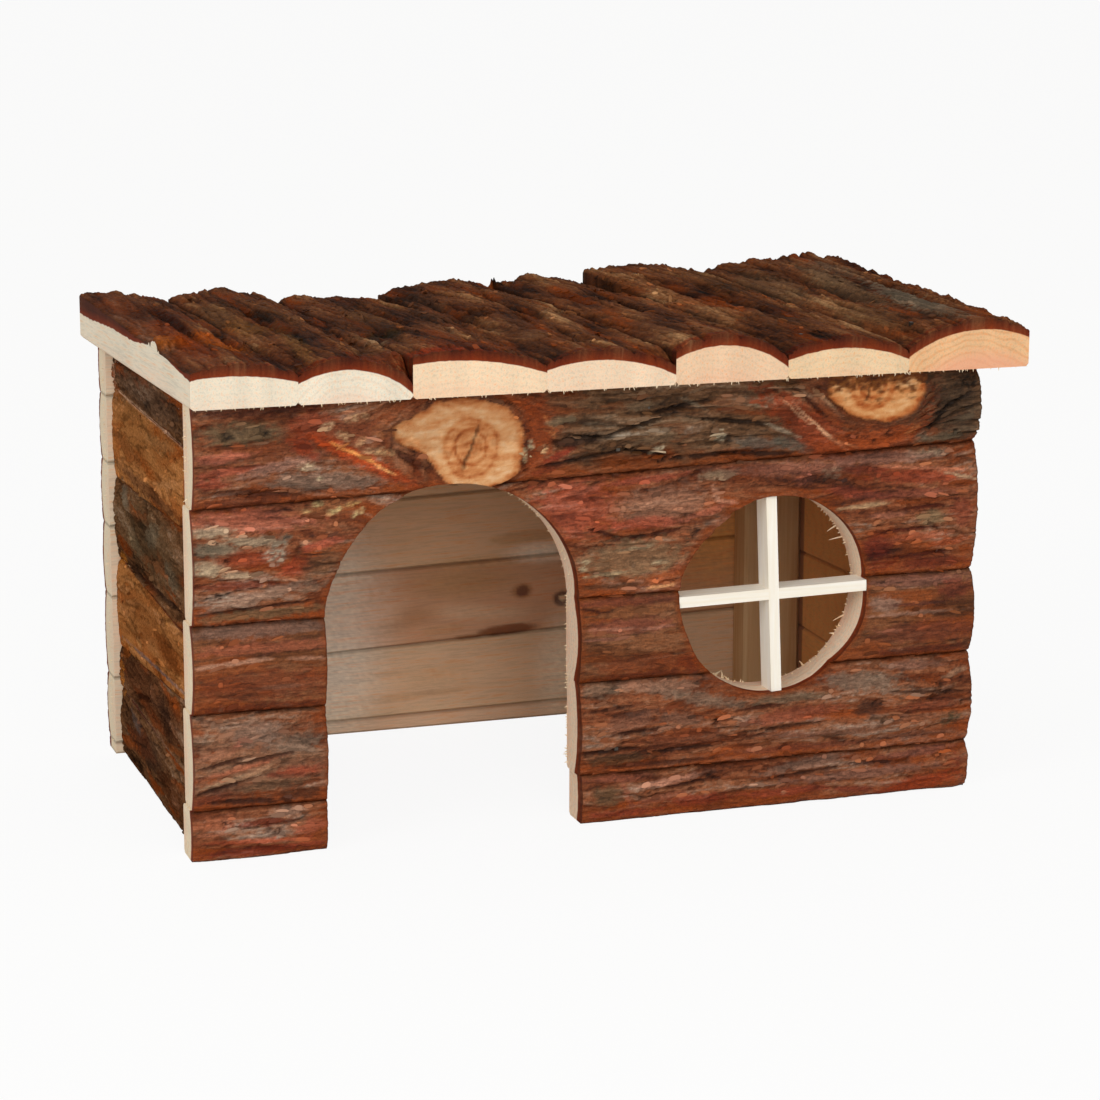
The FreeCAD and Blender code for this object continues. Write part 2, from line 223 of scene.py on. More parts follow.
# %% Driving values
WALL_HEIGHT, ROOF_DEPTH = 144.5, 160.0
WALL_LEFT, WALL_RIGHT = -140.0, 125.5       # ends of the front and the back wall
FRONT_INNER, BACK_INNER = -60.0, 57.0       # sawn inner faces of the four walls
LEFT_INNER, RIGHT_INNER = -125.0, 114.0
SLAB_EDGE, SLAB_CROWN = 11.5, 15.5          # thickness of the front and the back boards
SIDE_EDGE, SIDE_CROWN = 12.5, 13.5
MIN_LOG_RADIUS = 16.0
DOOR_X, DOOR_WIDTH, DOOR_SPRING = -55.5, 84.0, 74.0   # the round head springs at this height
DOOR_LEFT, DOOR_RIGHT = DOOR_X - DOOR_WIDTH / 2, DOOR_X + DOOR_WIDTH / 2
WINDOW_X, WINDOW_Z, WINDOW_DIAMETER = 53.6, 72.5, 66.0
FRONT_JOINTS = ((112, 119), (75.5, 75.5), (47.3, 47.3), (16.3, 16.3))
BACK_JOINTS = ((127.3, 126), (104, 109), (81.5, 90), (56.5, 63.5), (27.5, 36.5), (4, 7))
LEFT_JOINTS = ((128.5, 130), (102.5, 99), (67.5, 70.5), (46.5, 39), (22, 24))
RIGHT_JOINTS = ((121, 118), (89, 91.5), (60.5, 57.5), (27, 30))
ROOF_BOARDS = (   # width, then heights of left edge, crown and right edge at the front and the back
    (33.4, (11.8, 13.6, 9.9), (15.3, 15.7, 11.8)),
    (36.3, (9.4, 13.8, 5.4), (13.0, 15.4, 9.4)),
    (43.5, (13.2, 14.7, 8.8), (10.0, 11.6, 9.6)),
    (43.0, (9.5, 12.9, 6.2), (11.5, 15.2, 11.6)),
    (38.4, (11.2, 15.6, 7.2), (13.0, 15.4, 10.8)),
    (42.4, (8.7, 12.9, 7.2), (16.2, 18.5, 13.6)),
    (43.0, (8.2, 16.6, 12.5), (14.6, 18.8, 16.6)),
)
ROOF_EDGE_RUN = (-4.2, -6.4, -3.2, -10.2, -10.2, -14.0, -9.0, 4.2)   # sideways, front to back
BARK_FURROWS = (   # per roof board: place across it, start and end along it (shares), width, depth
    ((0.50, 0.30, 0.88, 6.5, 2.4), (0.82, 0.14, 0.62, 5.5, 2.0)),
    ((0.36, 0.24, 0.84, 7.5, 2.6), (0.78, 0.14, 0.60, 6.0, 2.2)),
    ((0.50, 0.34, 0.86, 8.0, 2.4), (0.84, 0.18, 0.86, 6.0, 2.2), (0.16, 0.12, 0.48, 5.5, 1.8)),
    ((0.13, 0.22, 0.86, 6.5, 2.2), (0.60, 0.30, 0.86, 7.5, 2.6), (0.48, 0.06, 0.34, 6.0, 1.8)),
    ((0.45, 0.34, 0.72, 9.0, 2.8), (0.80, 0.14, 0.56, 6.0, 2.0), (0.22, 0.54, 0.84, 6.0, 2.0)),
    ((0.45, 0.22, 0.78, 8.0, 2.8), (0.78, 0.12, 0.50, 6.0, 2.0), (0.24, 0.52, 0.84, 7.0, 2.2)),
    ((0.70, 0.10, 0.92, 9.0, 3.0), (0.30, 0.26, 0.84, 8.0, 2.6)),
)
FURROW_RUN_OUT = 0.3   # share of a furrow's length over which each end rises to the bark


# %% [markdown]
# ## Stacking the boards
# A wall of slabs is stacked from the ground up, and every board starts where the one below it
# ends. The roof's slabs lie side by side in the same way. Working the boards out from the joints,
# instead of placing each by hand, keeps them in contact when a size changes.

# %% Lay out the boards
def course(near, far, out, low, high, edge, crown):
    """A lying wall board between two heights at each end. Low boards come from thinner logs."""
    profiles = []
    for height in (high[0] - low[0], high[1] - low[1]):
        half = height / 2
        rise = crown - edge
        if half < MIN_LOG_RADIUS:
            rise = min(rise, MIN_LOG_RADIUS - math.sqrt(MIN_LOG_RADIUS ** 2 - half ** 2))
        profiles.append((height, edge, edge + rise, edge))
    return Slab((*near, low[0]), (*far, low[1]), (0, 0, 1), out, *profiles)


def wall(near, far, out, joints, edge, crown):
    """The boards of a wall from the top down."""
    levels = ((WALL_HEIGHT, WALL_HEIGHT),) + joints + ((0, 0),)
    return [course(near, far, out, low, high, edge, crown)
            for high, low in zip(levels[:-1], levels[1:])]


def roof():
    """The roof boards from left to right, each running from the front to the back."""
    left, boards = -sum(board[0] for board in ROOF_BOARDS) / 2, []
    for (width, front, back), run, next_run in zip(ROOF_BOARDS, ROOF_EDGE_RUN, ROOF_EDGE_RUN[1:]):
        boards.append(Slab((left, -ROOF_DEPTH / 2, WALL_HEIGHT),
                           (left + run, ROOF_DEPTH / 2, WALL_HEIGHT), (1, 0, 0), (0, 0, 1),
                           (width, *front), (width + next_run - run, *back)))
        left += width
    return boards


walls = {
    "front": wall((WALL_LEFT, FRONT_INNER), (WALL_RIGHT, FRONT_INNER), (0, -1, 0),
                  FRONT_JOINTS, SLAB_EDGE, SLAB_CROWN),
    "back": wall((WALL_LEFT, BACK_INNER), (WALL_RIGHT, BACK_INNER), (0, 1, 0),
                 BACK_JOINTS, SLAB_EDGE, SLAB_CROWN),
    "left": wall((LEFT_INNER, FRONT_INNER), (LEFT_INNER, BACK_INNER), (-1, 0, 0),
                 LEFT_JOINTS, SIDE_EDGE, SIDE_CROWN),
    "right": wall((RIGHT_INNER, FRONT_INNER), (RIGHT_INNER, BACK_INNER), (1, 0, 0),
                  RIGHT_JOINTS, SIDE_EDGE, SIDE_CROWN),
    "roof": roof(),
}
print("boards:", {side: len(boards) for side, boards in walls.items()})


# %% [markdown]
# ## Kinds of bark
# Six kinds of bark are on this house. Scaly bark has thin red-brown flakes with mauve and pink
# faces. Smooth bark is young and only wrinkled along the log. Furrowed bark is old, grey-brown and
# split by long dark cracks. Peeled bark has lost its outside and shows the orange-brown layer
# under it. Weathered bark is brown and dull. Roofing bark is the darkest, with thick ridges. Each
# kind is a few sizes in millimetres and a row of colours from its cracks to its highest flakes.

# %% Kinds of bark
class Bark:
    """Flake length and width, flake step, crack depth, wrinkle height, the colours, how many
    layers of flakes lie on one another, and how much lighter and darker patches differ."""

    def __init__(self, flake, lift, crack, wrinkle, colours, layers=5, patches=0.16):
        self.flake, self.lift, self.crack = flake, lift, crack
        self.wrinkle, self.colours, self.layers, self.patches = wrinkle, colours, layers, patches


SCALY = Bark((32, 5.5), 1.4, 0.8, 0.24,
             ("26120A", "5C2C16", "824628", "965E3E", "A07C66", "B49C88"))
SMOOTH = Bark((60, 7), 0.5, 0.15, 0.24, ("542C14", "6E3E20", "824E2E", "8E5C3C", "987058"), 3)
FURROWED = Bark((40, 6), 1.8, 1.5, 0.30,
                ("180F08", "402A18", "5E4028", "745238", "8A6E54", "A69480"))
PEELED = Bark((60, 9), 0.5, 0.2, 0.15, ("784422", "9C6032", "B47642", "BC7E4C", "CA966A"), 3)
WEATHERED = Bark((60, 8), 0.8, 0.8, 0.22,
                 ("26180F", "4C301E", "66432A", "7A5438", "906C52", "A88C72"), 4)
ROOFING = Bark((70, 9), 1.4, 1.2, 0.34,
               ("0C0502", "34180A", "5E3218", "7A4626", "92603A", "BE8E60"), 5, 0.30)
RUST = np.array(linear("92400E")[:3])   # inner bark, where the outer bark has come off
# painted shade: how much a flake's step edge and an open crack are darkened
FLAKE_EDGE_SHADE, CRACK_SHADE = 0.45, 0.72      # share of the light that a flake's edge or a crack takes


def bark_skin(kind, s, t, seed):
    """Height in mm and colour of bark of one kind at s along and t across a board."""
    long, wide = kind.flake
    # the grain wanders sideways and is ragged, so nothing on the bark runs dead straight
    s1 = s + 4 * soft(s / 26, t / 9, seed + 50) + 1.0 * soft(s / 5, t / 2.5, seed + 51)
    t1 = t + 2.2 * soft(s / long, t / 12, seed + 52) + 0.5 * soft(s / 7, t / 2, seed + 53)
    # layers of flakes: each is flat and ends in a short slope down to the next
    layer = (0.5 + 0.5 * rough(s1 / long, t1 / wide, seed, 4)) * kind.layers
    whole = np.floor(layer)
    flakes = (whole + step(0.80, 1.0, layer - whole)) / kind.layers
    # plates with cracks between them, on some parts of the board only
    inside, number = cells(s1 / (long * 1.1), t1 / (wide * 0.8), seed + 21)
    cracks = 1 - step(0.02, 0.14, inside + 0.05 * soft(s / 3, t / 1.5, seed + 23))
    cracks *= step(-0.35, 0.30, soft(s / 24, t / 7, seed + 25))
    opened = 0.4 + 0.6 * number
    # long wrinkles, and grit about a millimetre wide
    wrinkles = rough(s1 / 16, t1 / 1.3, seed + 31, 3)
    grit = rough(s / 1.6, t / 1.1, seed + 41, 2)
    height = (kind.lift * (flakes - 0.62) + 0.35 * kind.lift * (number - 0.5)
              - kind.crack * cracks * opened + kind.wrinkle * wrinkles + 0.07 * grit)
    # high parts are pale and deep parts dark: the layers' own colours, and painted shade in hollows
    share = (0.28 + 0.42 * flakes + 0.30 * (number - 0.5) + 0.20 * wrinkles + 0.11 * grit
             + kind.patches * soft(s1 / 40, t1 / 10, seed + 61))
    colour = ramp(kind.colours, share)
    # painted shade in the open cracks
    colour *= (1 - CRACK_SHADE * cracks * opened)[:, None]
    # painted shadow along the short slope at the end of each flake
    edge = step(0.75, 0.85, layer - whole) * (1 - step(0.90, 0.99, layer - whole))
    colour *= (1 - FLAKE_EDGE_SHADE * edge)[:, None]
    # where the top layers are gone, the rusty inner bark shows through
    low = (1 - step(0.25, 0.5, flakes)) * step(0.0, 0.5, soft(s / 30, t / 8, seed + 81) + 0.2)
    warm = (0.55 * low * (1 - 0.8 * cracks))[:, None]
    return height, colour * (1 - warm) + RUST * warm * (0.8 + 0.4 * number)[:, None]


# %% [markdown]
# ## Marks
# On top of its kind, each wall has its own marks: grey and pink patches, long streaks, splits,
# white scars, dark nail holes. A few are painted light and shade: a shadow under the roof's
# edge, thin highlights, shade and a sheen on the roof, and pools of light and shade on the inner
# planks. A mark is an ellipse with a ragged outline, given by its middle, half length, half
# height, turn in degrees, colour, strength and how many millimetres it lifts or sinks the bark.
# The places are x and z on the front wall, y and z on the side walls, and x and y on the roof.

# %% Lacquer over the marks
LACQUER = np.array((0.92, 0.84, 0.62))   # clear lacquer darkens and warms what it covers
MARKS = {}

# %% Marks on the back wall's inner face
MARKS["inside"] = (   # seen through the doorway and the window
    # large soft areas: near-white ones are painted light from the doorway, brown ones painted shade
    (25, 44, 3.6, 3.1, 0, "140A05", 1.15, 0), (25.3, 44.2, 1.4, 1.2, 0, "E8C8A0", 1.1, 0),
    (9.8, 48, 4.4, 3.2, 0, "9C6634", 0.7, 0), (9.8, 48, 2.7, 2.4, 0, "4A2008", 1.15, 0),
    (4, 34.0, 12, 2.1, 3, "6E3A10", 1.1, 0), (-9, 32.6, 8, 0.9, 3, "8A5220", 0.8, 0),
    (-20, 36, 9, 2.0, 2, "C09466", 0.6, 0), (-22, 96.5, 2.6, 1.2, 0, "5C3A1E", 0.9, 0),
    (-17, 93.5, 2.6, 1.1, 0, "5C3A1E", 0.9, 0), (-16, 89.5, 2.2, 1.0, 0, "5C3A1E", 0.9, 0),
    (-24, 92, 12, 6, 4, "C49468", 0.5, 0), (0, 60, 30, 2.2, 0, "D8A878", 0.5, 0),
    (-60, 20, 26, 2.0, 3, "C89A6C", 0.5, 0), (-40, 12, 30, 1.4, 2, "BC9064", 0.5, 0),
    (-70, 46, 24, 3.0, 4, "D8A674", 0.5, 0), (-66, 18, 22, 26, 0, "FFF4DC", 1.0, 0),
    (-68, 60, 20, 22, 0, "FAE8CC", 0.9, 0), (-40, 38, 11, 3.6, 5, "A87848", 0.6, 0),
    (12, 68, 15, 2.6, 3, "B08048", 0.5, 0), (-6, 41, 22, 3.6, -5, "EED4AE", 0.4, 0),
    # the golden area at x 86 is painted warm bounce light, seen through the window
    (86, 76, 34, 40, 0, "EFAA59", 1.1, 0), (14, 98, 34, 9, 4, "B08C60", 0.45, 0),
    (-13, 53, 26, 8, 0, "A88048", 0.7, 0), (-30, 42, 11, 4.5, 0, "A07444", 0.6, 0),
    (18, 62, 15, 4.2, 0, "FFF2DC", 0.95, 0), (27, 17, 13, 24, 0, "FFF0D4", 0.95, 0),
    (-22, 18, 17, 7, 0, "C8A67C", 0.5, 0), (-68, 44, 30, 42, 0, "FFF6E4", 0.8, 0),
)

# %% Marks on the front wall, top course, left part
MARKS["front"] = (
    (-112, 134, 30, 14, 0, "6E3C28", 0.45, 0),
    (-122, 135.5, 15, 3.6, 0, "5C5648", 0.85, 0.1), (-128, 135, 2.4, 1.7, 0, "1C1512", 1, -0.9),
    (-116, 136, 1.6, 1.3, 0, "1C1512", 1, -0.8), (-101, 136, 9, 6, 0, "7A3220", 0.75, 0),
    # the dark strip at z 142.5 along the top is painted shadow under the roof's edge
    (-120, 142.5, 22, 2.2, 0, "441C12", 0.9, 0), (-130, 128.5, 10, 1.7, 5, "B4685A", 0.9, 0.3),
    (-128, 124, 12, 1.3, 7, "A25244", 0.8, 0.2), (-133, 120.5, 6, 2, 0, "8A3A2C", 0.8, 0),
    (-112, 125, 14, 1.9, 13, "94706C", 0.9, 0.4), (-97, 119.5, 20, 3.2, -4, "8A7470", 0.9, 0.5),
    (-103, 124.3, 2.8, 1.7, 0, "C0B0A4", 1, 0.6), (-119, 116.5, 16, 1.2, -5, "3E2018", 0.9, -0.8),
    (-124, 114, 16, 2.0, 2, "5E3022", 0.8, 0), (-99, 120.2, 1.2, 0.8, 0, "D0C0B0", 1, 0.3),
    (-99.5, 116.3, 1.3, 0.9, 0, "1A1210", 1, -0.8), (-90, 133, 12, 6, 8, "6E3A28", 0.8, -0.2),
    (-96, 136.5, 2.4, 1.4, 20, "D0B09A", 1, 0.7), (-91, 133.5, 2.8, 1.5, -25, "CDA98E", 1, 0.8),
    (-86, 131, 2.2, 1.2, 25, "C49A80", 1, 0.8), (-88, 138.5, 2.6, 1.3, 10, "C8A58C", 1, 0.7),
    (-82.5, 128.2, 3.4, 1.2, 8, "D4B096", 1, 0.8), (-92, 130, 1.6, 1.0, -30, "D8B8A0", 1, 0.6),
    (-84, 139, 2.2, 1.1, -15, "B08A72", 1, 0.6), (-78, 127.5, 4, 1.1, -6, "C9A080", 1, 0.6),
    # the thin pale lines along the orange stripe, at z 126.8 and 121.8, are painted highlights
    (-85.5, 125.5, 21, 2.4, -28, "A8431B", 1, -0.5), (-86, 126.8, 7, 0.5, -28, "E6A468", 1, 0.2),
    (-78, 121.8, 5, 0.45, -28, "E8AA78", 1, 0.2), (-92, 129.6, 5, 0.5, -30, "D08850", 1, 0.1),
    (-79, 134, 4, 2.4, 10, "8A5434", 0.8, 0), (-104, 130, 5, 2.4, -30, "923A1E", 0.9, 0),
)

# %% Marks on the front wall, round the first knot
MARKS["front"] += (
    (-70, 124.5, 7.5, 1.3, -32, "32140C", 1, -1.3), (-67, 120, 5, 1.2, -60, "6A3018", 1, -0.6),
    (-64, 127.5, 3.6, 1.4, -60, "5A2C18", 0.9, -0.6), (-68.5, 126.6, 3.5, 1.0, -10, "3A1C12", 1, -0.8),
    (-29, 130, 7, 14, 0, "8E401B", 0.95, -0.2), (-33, 128, 1.6, 9, 6, "31150D", 0.9, -1.2),
    (-32.2, 124, 0.9, 2.6, 4, "D8C8B0", 1, 0.2), (-30.5, 127, 1.0, 1.6, 0, "E0D4C0", 1, 0.3),
    (-26, 125.3, 1.3, 1.4, 0, "EBC8A8", 1, 0.4), (-24, 132, 1.0, 4, 25, "B87850", 1, 0.2),
    (-21, 123, 6, 1.4, 25, "8A2C1C", 0.9, 0), (-23, 119.5, 8, 1.6, 20, "74301C", 0.8, 0),
)

# %% Marks on the front wall, top course, grey furrowed part
MARKS["front"] += (
    (-14, 127.5, 10, 2.2, 6, "251612", 1, -1.5), (-20.5, 134.2, 5.5, 1.4, 8, "8E7C6C", 0.95, 0.7),
    (6, 131.5, 16, 0.8, 14, "20130E", 1, -1.6), (-12, 121.5, 18, 0.8, 8, "20130E", 1, -1.5),
    (20, 136.3, 13, 0.8, 9, "251712", 1, -1.4), (6, 137.5, 7, 1.6, 5, "7C685A", 0.9, 0.4),
    (12, 126.5, 9, 1.7, 8, "7A6658", 0.8, 0.4), (10, 122.0, 9, 0.8, -12, "251712", 1, -1.5),
    (13.5, 119.4, 2.6, 1.0, 0, "160E0B", 1, -1.2), (12.5, 123.2, 2.4, 1.2, 35, "D2C8BE", 1, 0.5),
    (33.5, 126.2, 2.6, 1.9, -10, "D0C8C0", 1, 0.6), (36.5, 124.6, 1.2, 2.2, 0, "1E1613", 1, -1.0),
    (24, 129, 3.4, 1.2, 10, "8A7A76", 0.9, 0.4), (47, 123, 10, 2.3, -6, "6C6464", 0.9, 0.3),
    (59, 122, 8, 2.4, -18, "62605F", 0.9, 0.3), (40, 130.5, 14, 0.9, -8, "241712", 1, -1.4),
    (30, 120, 14, 0.9, 2, "2A1A14", 1, -1.2), (50, 119.2, 12, 0.8, -3, "2A1814", 1, -1.0),
    (24, 137.5, 4.5, 0.8, -25, "9A8A80", 0.9, 0.5), (46, 138, 10, 2.6, -5, "503A30", 0.8, 0),
)

# %% Marks on the front wall, round the second knot
MARKS["front"] += (
    (64, 128, 22, 6.5, -36, "8A3A1E", 0.95, -0.1), (60, 132.5, 7, 0.5, -42, "D8A48C", 0.8, 0.4),
    (66.5, 128.5, 10, 0.6, -42, "DDA890", 1, 0.5), (55, 127, 6, 0.8, -24, "A89890", 1, 0.4),
    (72, 123.8, 8, 0.7, -36, "E0AE98", 1, 0.4), (78, 121, 5, 0.5, -20, "D8A080", 1, 0.3),
    (69, 137, 5, 0.7, -42, "B8907A", 0.8, 0.4), (63, 139, 4, 0.8, -35, "A08478", 0.8, 0.4),
    (66, 134.5, 8, 0.8, -42, "3A1A10", 1, -0.8), (90, 122, 22, 4.5, 4, "93431E", 0.95, -0.3),
    (107, 131, 4, 10, -16, "8A3C1C", 0.95, -0.3), (93.6, 123.6, 1.8, 1.3, 0, "1C100C", 1, -1.0),
    (82, 123.2, 4, 1.3, -6, "3E1C12", 0.9, -0.6), (102, 124.5, 4, 1.0, 35, "C07850", 0.9, 0.3),
    (88.3, 121.2, 1.0, 0.9, 0, "1C100C", 1, -0.7), (98, 119.4, 7, 1.2, 3, "52240F", 0.9, -0.4),
)

# %% Marks on the front wall, top course, right end
MARKS["front"] += (
    (117, 131, 10, 13, 0, "46372E", 0.85, 0.2), (117.5, 123.2, 2.0, 1.2, 0, "15100D", 1, -1.0),
    (121, 139, 4, 2.2, 0, "17110E", 1, -0.8), (110, 127, 7, 0.9, 50, "201612", 1, -1.2),
    (116, 133, 8, 0.8, 28, "231813", 1, -1.2), (112, 121.5, 8, 1.6, 8, "6A5E54", 0.9, 0.4),
    (106, 122, 3.5, 2.0, 20, "7A6E66", 0.9, 0.5), (120, 128, 5, 1.2, 12, "5E5148", 0.8, 0.4),
)

# %% Marks on the front wall, second course, left
MARKS["front"] += (
    (-120, 108, 22, 3.6, 0, "B4695C", 0.8, 0.3), (-97, 110.6, 12, 2.0, 4, "B87A58", 0.7, 0.2),
    (-99, 111.8, 2.0, 1.0, 10, "E2CBA2", 1, 0.5), (-94, 109.6, 2.4, 0.9, 20, "E8D2A6", 1, 0.5),
    (-88, 111.4, 2.8, 0.8, 10, "DDB582", 1, 0.5), (-86.5, 108.6, 2.6, 0.9, 30, "EAD6AE", 1, 0.5),
    (-103, 110, 1.6, 0.8, 0, "D8B88E", 1, 0.4), (-133, 105.5, 7, 1.8, 0, "A99A90", 0.95, 0.7),
    (-132, 100, 8, 2.4, -4, "A4968C", 0.95, 0.7), (-121, 102, 10, 1.8, -4, "AA9A90", 0.95, 0.7),
    (-134, 94.5, 6, 2.8, 0, "B0A094", 0.95, 0.7), (-126, 91.8, 6.5, 1.2, 0, "B8A498", 0.95, 0.6),
    (-121, 96.6, 12, 3.0, 0, "8C3A20", 0.95, -0.5), (-113, 97.4, 3.6, 3.5, 20, "A8A09E", 1, 0.5),
    (-110, 102.5, 2.6, 1.4, 10, "8A8684", 0.9, 0.4), (-104, 98.6, 2.2, 1.1, 0, "4A180F", 1, -0.8),
    (-109.6, 102.8, 1.2, 0.8, 0, "221210", 1, -0.8), (-128.6, 96.2, 1.0, 0.9, 0, "2A1410", 1, -0.8),
    (-107, 93, 6, 3, 10, "9A4026", 0.9, 0), (-98, 100, 7, 1.6, 12, "B0584A", 0.8, 0.3),
    (-125, 88.5, 14, 1.6, 0, "6E2A18", 0.9, -0.5), (-117, 88.2, 1.4, 0.9, 60, "B86A40", 1, 0.3),
    (-118, 84.5, 22, 2.0, 13, "967A74", 0.95, 0.7), (-131.6, 85.6, 1.6, 1.1, 0, "2A1612", 1, -0.9),
    (-120, 80.6, 20, 0.7, 4, "3C2018", 1, -0.9), (-116, 78.6, 24, 1.7, 2, "7A6450", 0.85, 0.2),
    (-98, 94, 8, 4, 25, "70503E", 0.8, 0), (-102, 86, 6, 1.4, 14, "8E7268", 0.9, 0.4),
)

# %% Marks on the front wall, second course, between doorway and window
MARKS["front"] += (
    (-16, 105, 15, 10, 0, "A04C3C", 0.8, 0.2), (15, 105, 17, 6.5, 2, "9C7266", 0.85, 0.7),
    (-14, 110.5, 10, 1.2, 12, "B86A5A", 0.8, 0.4), (-9, 108.3, 4, 0.9, 15, "5A2418", 0.9, -0.5),
    (10, 113.4, 14, 1.4, 5, "94463A", 0.8, 0.2), (34, 113.2, 7, 1.7, 2, "B09A8C", 0.95, 0.6),
    (8, 99.5, 13, 2.2, 0, "A44E3E", 0.85, 0.3), (-6, 97, 6, 0.8, -20, "3A1610", 1, -1.0),
    (2, 94.6, 9, 0.8, 4, "3A1610", 1, -1.1), (16, 96.2, 8, 0.8, 8, "42190F", 1, -1.0),
    (32.5, 107, 1.0, 3.2, 20, "C89486", 1, 0.4), (36, 104.5, 5, 0.7, -8, "C88C7C", 1, 0.4),
    (30, 102, 9, 1.2, 14, "B46A5A", 0.9, 0.3), (25, 95.2, 3.0, 1.4, 25, "27201E", 1, -0.9),
    (4, 88, 20, 6.5, 0, "87705E", 0.85, 0.2), (-13, 85.6, 2.6, 0.8, -20, "C4B4A4", 1, 0.4),
    (-12, 88, 2.0, 0.7, 0, "B4A494", 1, 0.4), (13, 86, 2.6, 0.8, 0, "B8A898", 1, 0.4),
    (5, 91.6, 6, 0.7, 5, "A08C7C", 1, 0.4), (-4, 83.4, 8, 0.7, 4, "A4907E", 1, 0.3),
    (14, 80, 7, 2.2, 8, "9C5230", 0.95, 0.3), (14, 78.0, 5.5, 0.7, 4, "D09A78", 1, 0.4),
    (-2, 79, 12, 1.0, 0, "5A3A2A", 0.9, -0.5), (20, 84, 3.5, 1.8, 40, "A8604A", 0.9, 0.2),
)

# %% Marks on the front wall, second course, right of the window
MARKS["front"] += (
    (62, 113.5, 30, 2.4, -2, "8E5C54", 0.85, 0.2), (108, 116, 9, 1.6, -2, "8E837C", 0.95, 0.4),
    (92, 115.5, 24, 2.2, 0, "87605C", 0.8, 0.3), (64, 110.5, 3.6, 2.4, 20, "B0685C", 0.8, 0.3),
    (74, 111.6, 4.2, 2.2, 0, "94786E", 0.9, 0.5), (86, 112, 9, 1.2, 0, "74301F", 0.9, -0.4),
    (104, 108.8, 20, 2.4, -3, "93402C", 0.9, 0.1), (106, 111.4, 18, 0.6, -5, "C07A66", 1, 0.4),
    (120, 108.0, 6, 0.7, -14, "B89A8A", 1, 0.5), (82, 104.5, 12, 1.8, -10, "98483A", 0.9, 0.3),
    (84, 100.2, 9, 0.8, 3, "D0AE94", 0.9, 0.5), (100, 103.4, 20, 1.6, 0, "85483E", 0.8, 0.1),
    (109, 94.6, 5, 2.8, -8, "86705C", 0.95, 0.3), (110, 92, 3.0, 0.7, -35, "4A2A1C", 1, -0.6),
    (94, 96.6, 8, 1.0, 2, "B07264", 0.8, 0.4), (90, 86, 6, 5, 0, "76281C", 0.9, 0),
    (104, 88.6, 14, 1.6, 2, "A0543C", 0.85, 0.2), (120, 96, 5, 5, 0, "8A4032", 0.7, 0),
    (116, 86, 8, 1.6, 6, "A04A28", 0.85, 0.2), (106, 82, 14, 0.8, 3, "4C1A10", 1, -0.8),
    (110, 79, 14, 2, 0, "6A2A20", 0.8, 0), (100, 91.2, 12, 0.7, 2, "541E14", 1, -0.7),
    (106, 98.4, 12, 0.7, 2, "5A241A", 1, -0.6), (92, 80, 4, 3, 0, "7A2E20", 0.8, 0),
)

# %% Marks on the front wall, third course
MARKS["front"] += (
    (-120, 73.6, 26, 2.4, 0, "8A6C68", 0.9, 0.1), (-118, 68.2, 26, 2.0, 0, "9E5A48", 0.85, 0.1),
    (-128, 64.0, 14, 0.8, 3, "C29488", 0.9, 0.2), (-104, 63.9, 6, 0.7, -4, "BC8A7C", 0.9, 0.2),
    (-118, 56, 26, 5.5, 0, "74341F", 0.7, 0), (-112, 55.4, 7, 0.8, 0, "82584C", 0.8, 0),
    (-118, 48.8, 26, 1.6, 0, "5C240F", 0.9, -0.2), (5, 73.8, 22, 1.6, 0, "6E3A30", 0.85, 0),
    (-9, 71.4, 5, 0.6, -12, "3C1A14", 1, -0.5), (3, 66, 16, 2.6, 0, "8A4A42", 0.7, 0),
    (-2, 65.4, 9, 0.5, -2, "B88074", 0.9, 0.2), (12, 64.8, 7, 0.5, 4, "B07A70", 0.9, 0.2),
    (-6, 62.2, 8, 0.6, 0, "9A665C", 0.9, 0.1), (10, 53, 20, 3.6, 0, "74361C", 0.8, 0),
    (12, 48.8, 22, 1.3, 0, "56220F", 0.9, -0.3), (24, 52, 5, 3.0, -40, "6A2A10", 0.8, 0),
    (105, 73.5, 20, 2.2, 0, "7E5450", 0.9, 0.1), (93, 66.4, 6, 2.6, 0, "9A7C78", 0.9, 0.2),
    (105, 65.8, 12, 0.7, 0, "5C3430", 0.9, -0.3), (103, 62.8, 20, 0.7, 0, "A47C74", 0.9, 0.2),
    (118, 70, 6, 4, 0, "74342A", 0.8, 0), (108, 56, 22, 4, 0, "703A2E", 0.8, 0),
    (94, 57, 5, 1.0, 0, "8E5A4E", 0.8, 0.1), (108, 49.6, 20, 1.6, 0, "54241A", 0.9, -0.2),
)

# %% Marks on the front wall, fourth course, left
MARKS["front"] += (
    (-120, 33, 26, 13, 0, "94786C", 0.5, 0),
    (-135, 45.0, 4, 1.6, -30, "9C7A70", 0.9, 0.4), (-137, 40.5, 3.4, 1.5, 10, "9A8078", 0.9, 0.4),
    (-121, 41, 9, 4.4, 0, "8E736E", 0.85, 0.4), (-116, 40.6, 4.2, 3.2, 10, "957A76", 0.9, 0.6),
    (-108, 36.5, 9, 3.0, 5, "8A746F", 0.9, 0.7), (-126, 38, 4, 1.0, 40, "B0685A", 0.8, 0.3),
    (-134, 34.6, 6, 1.6, 6, "B07A68", 0.85, 0.5), (-126, 30, 14, 0.9, 12, "B06854", 0.9, 0.4),
    (-131, 32.2, 10, 0.7, 10, "3E2018", 1, -1.0), (-118, 32.8, 12, 0.8, 8, "43251B", 1, -1.0),
    (-128, 26.6, 12, 1.0, 12, "9A8072", 0.9, 0.4), (-120, 29.0, 9, 0.8, 22, "A8806E", 0.9, 0.4),
    (-132, 24.0, 8, 0.8, 12, "3A1C14", 1, -1.0), (-108, 27.4, 9, 2.0, 4, "9A4634", 0.9, 0.1),
    (-116, 24, 10, 2.2, 6, "6E5446", 0.85, 0.2), (-134, 20.6, 7, 1.8, 8, "7E4030", 0.85, 0.2),
    (-106, 20, 8, 2.4, 0, "4C2A1C", 0.85, -0.2), (-122, 18.4, 14, 0.9, -3, "34170F", 1, -0.8),
)

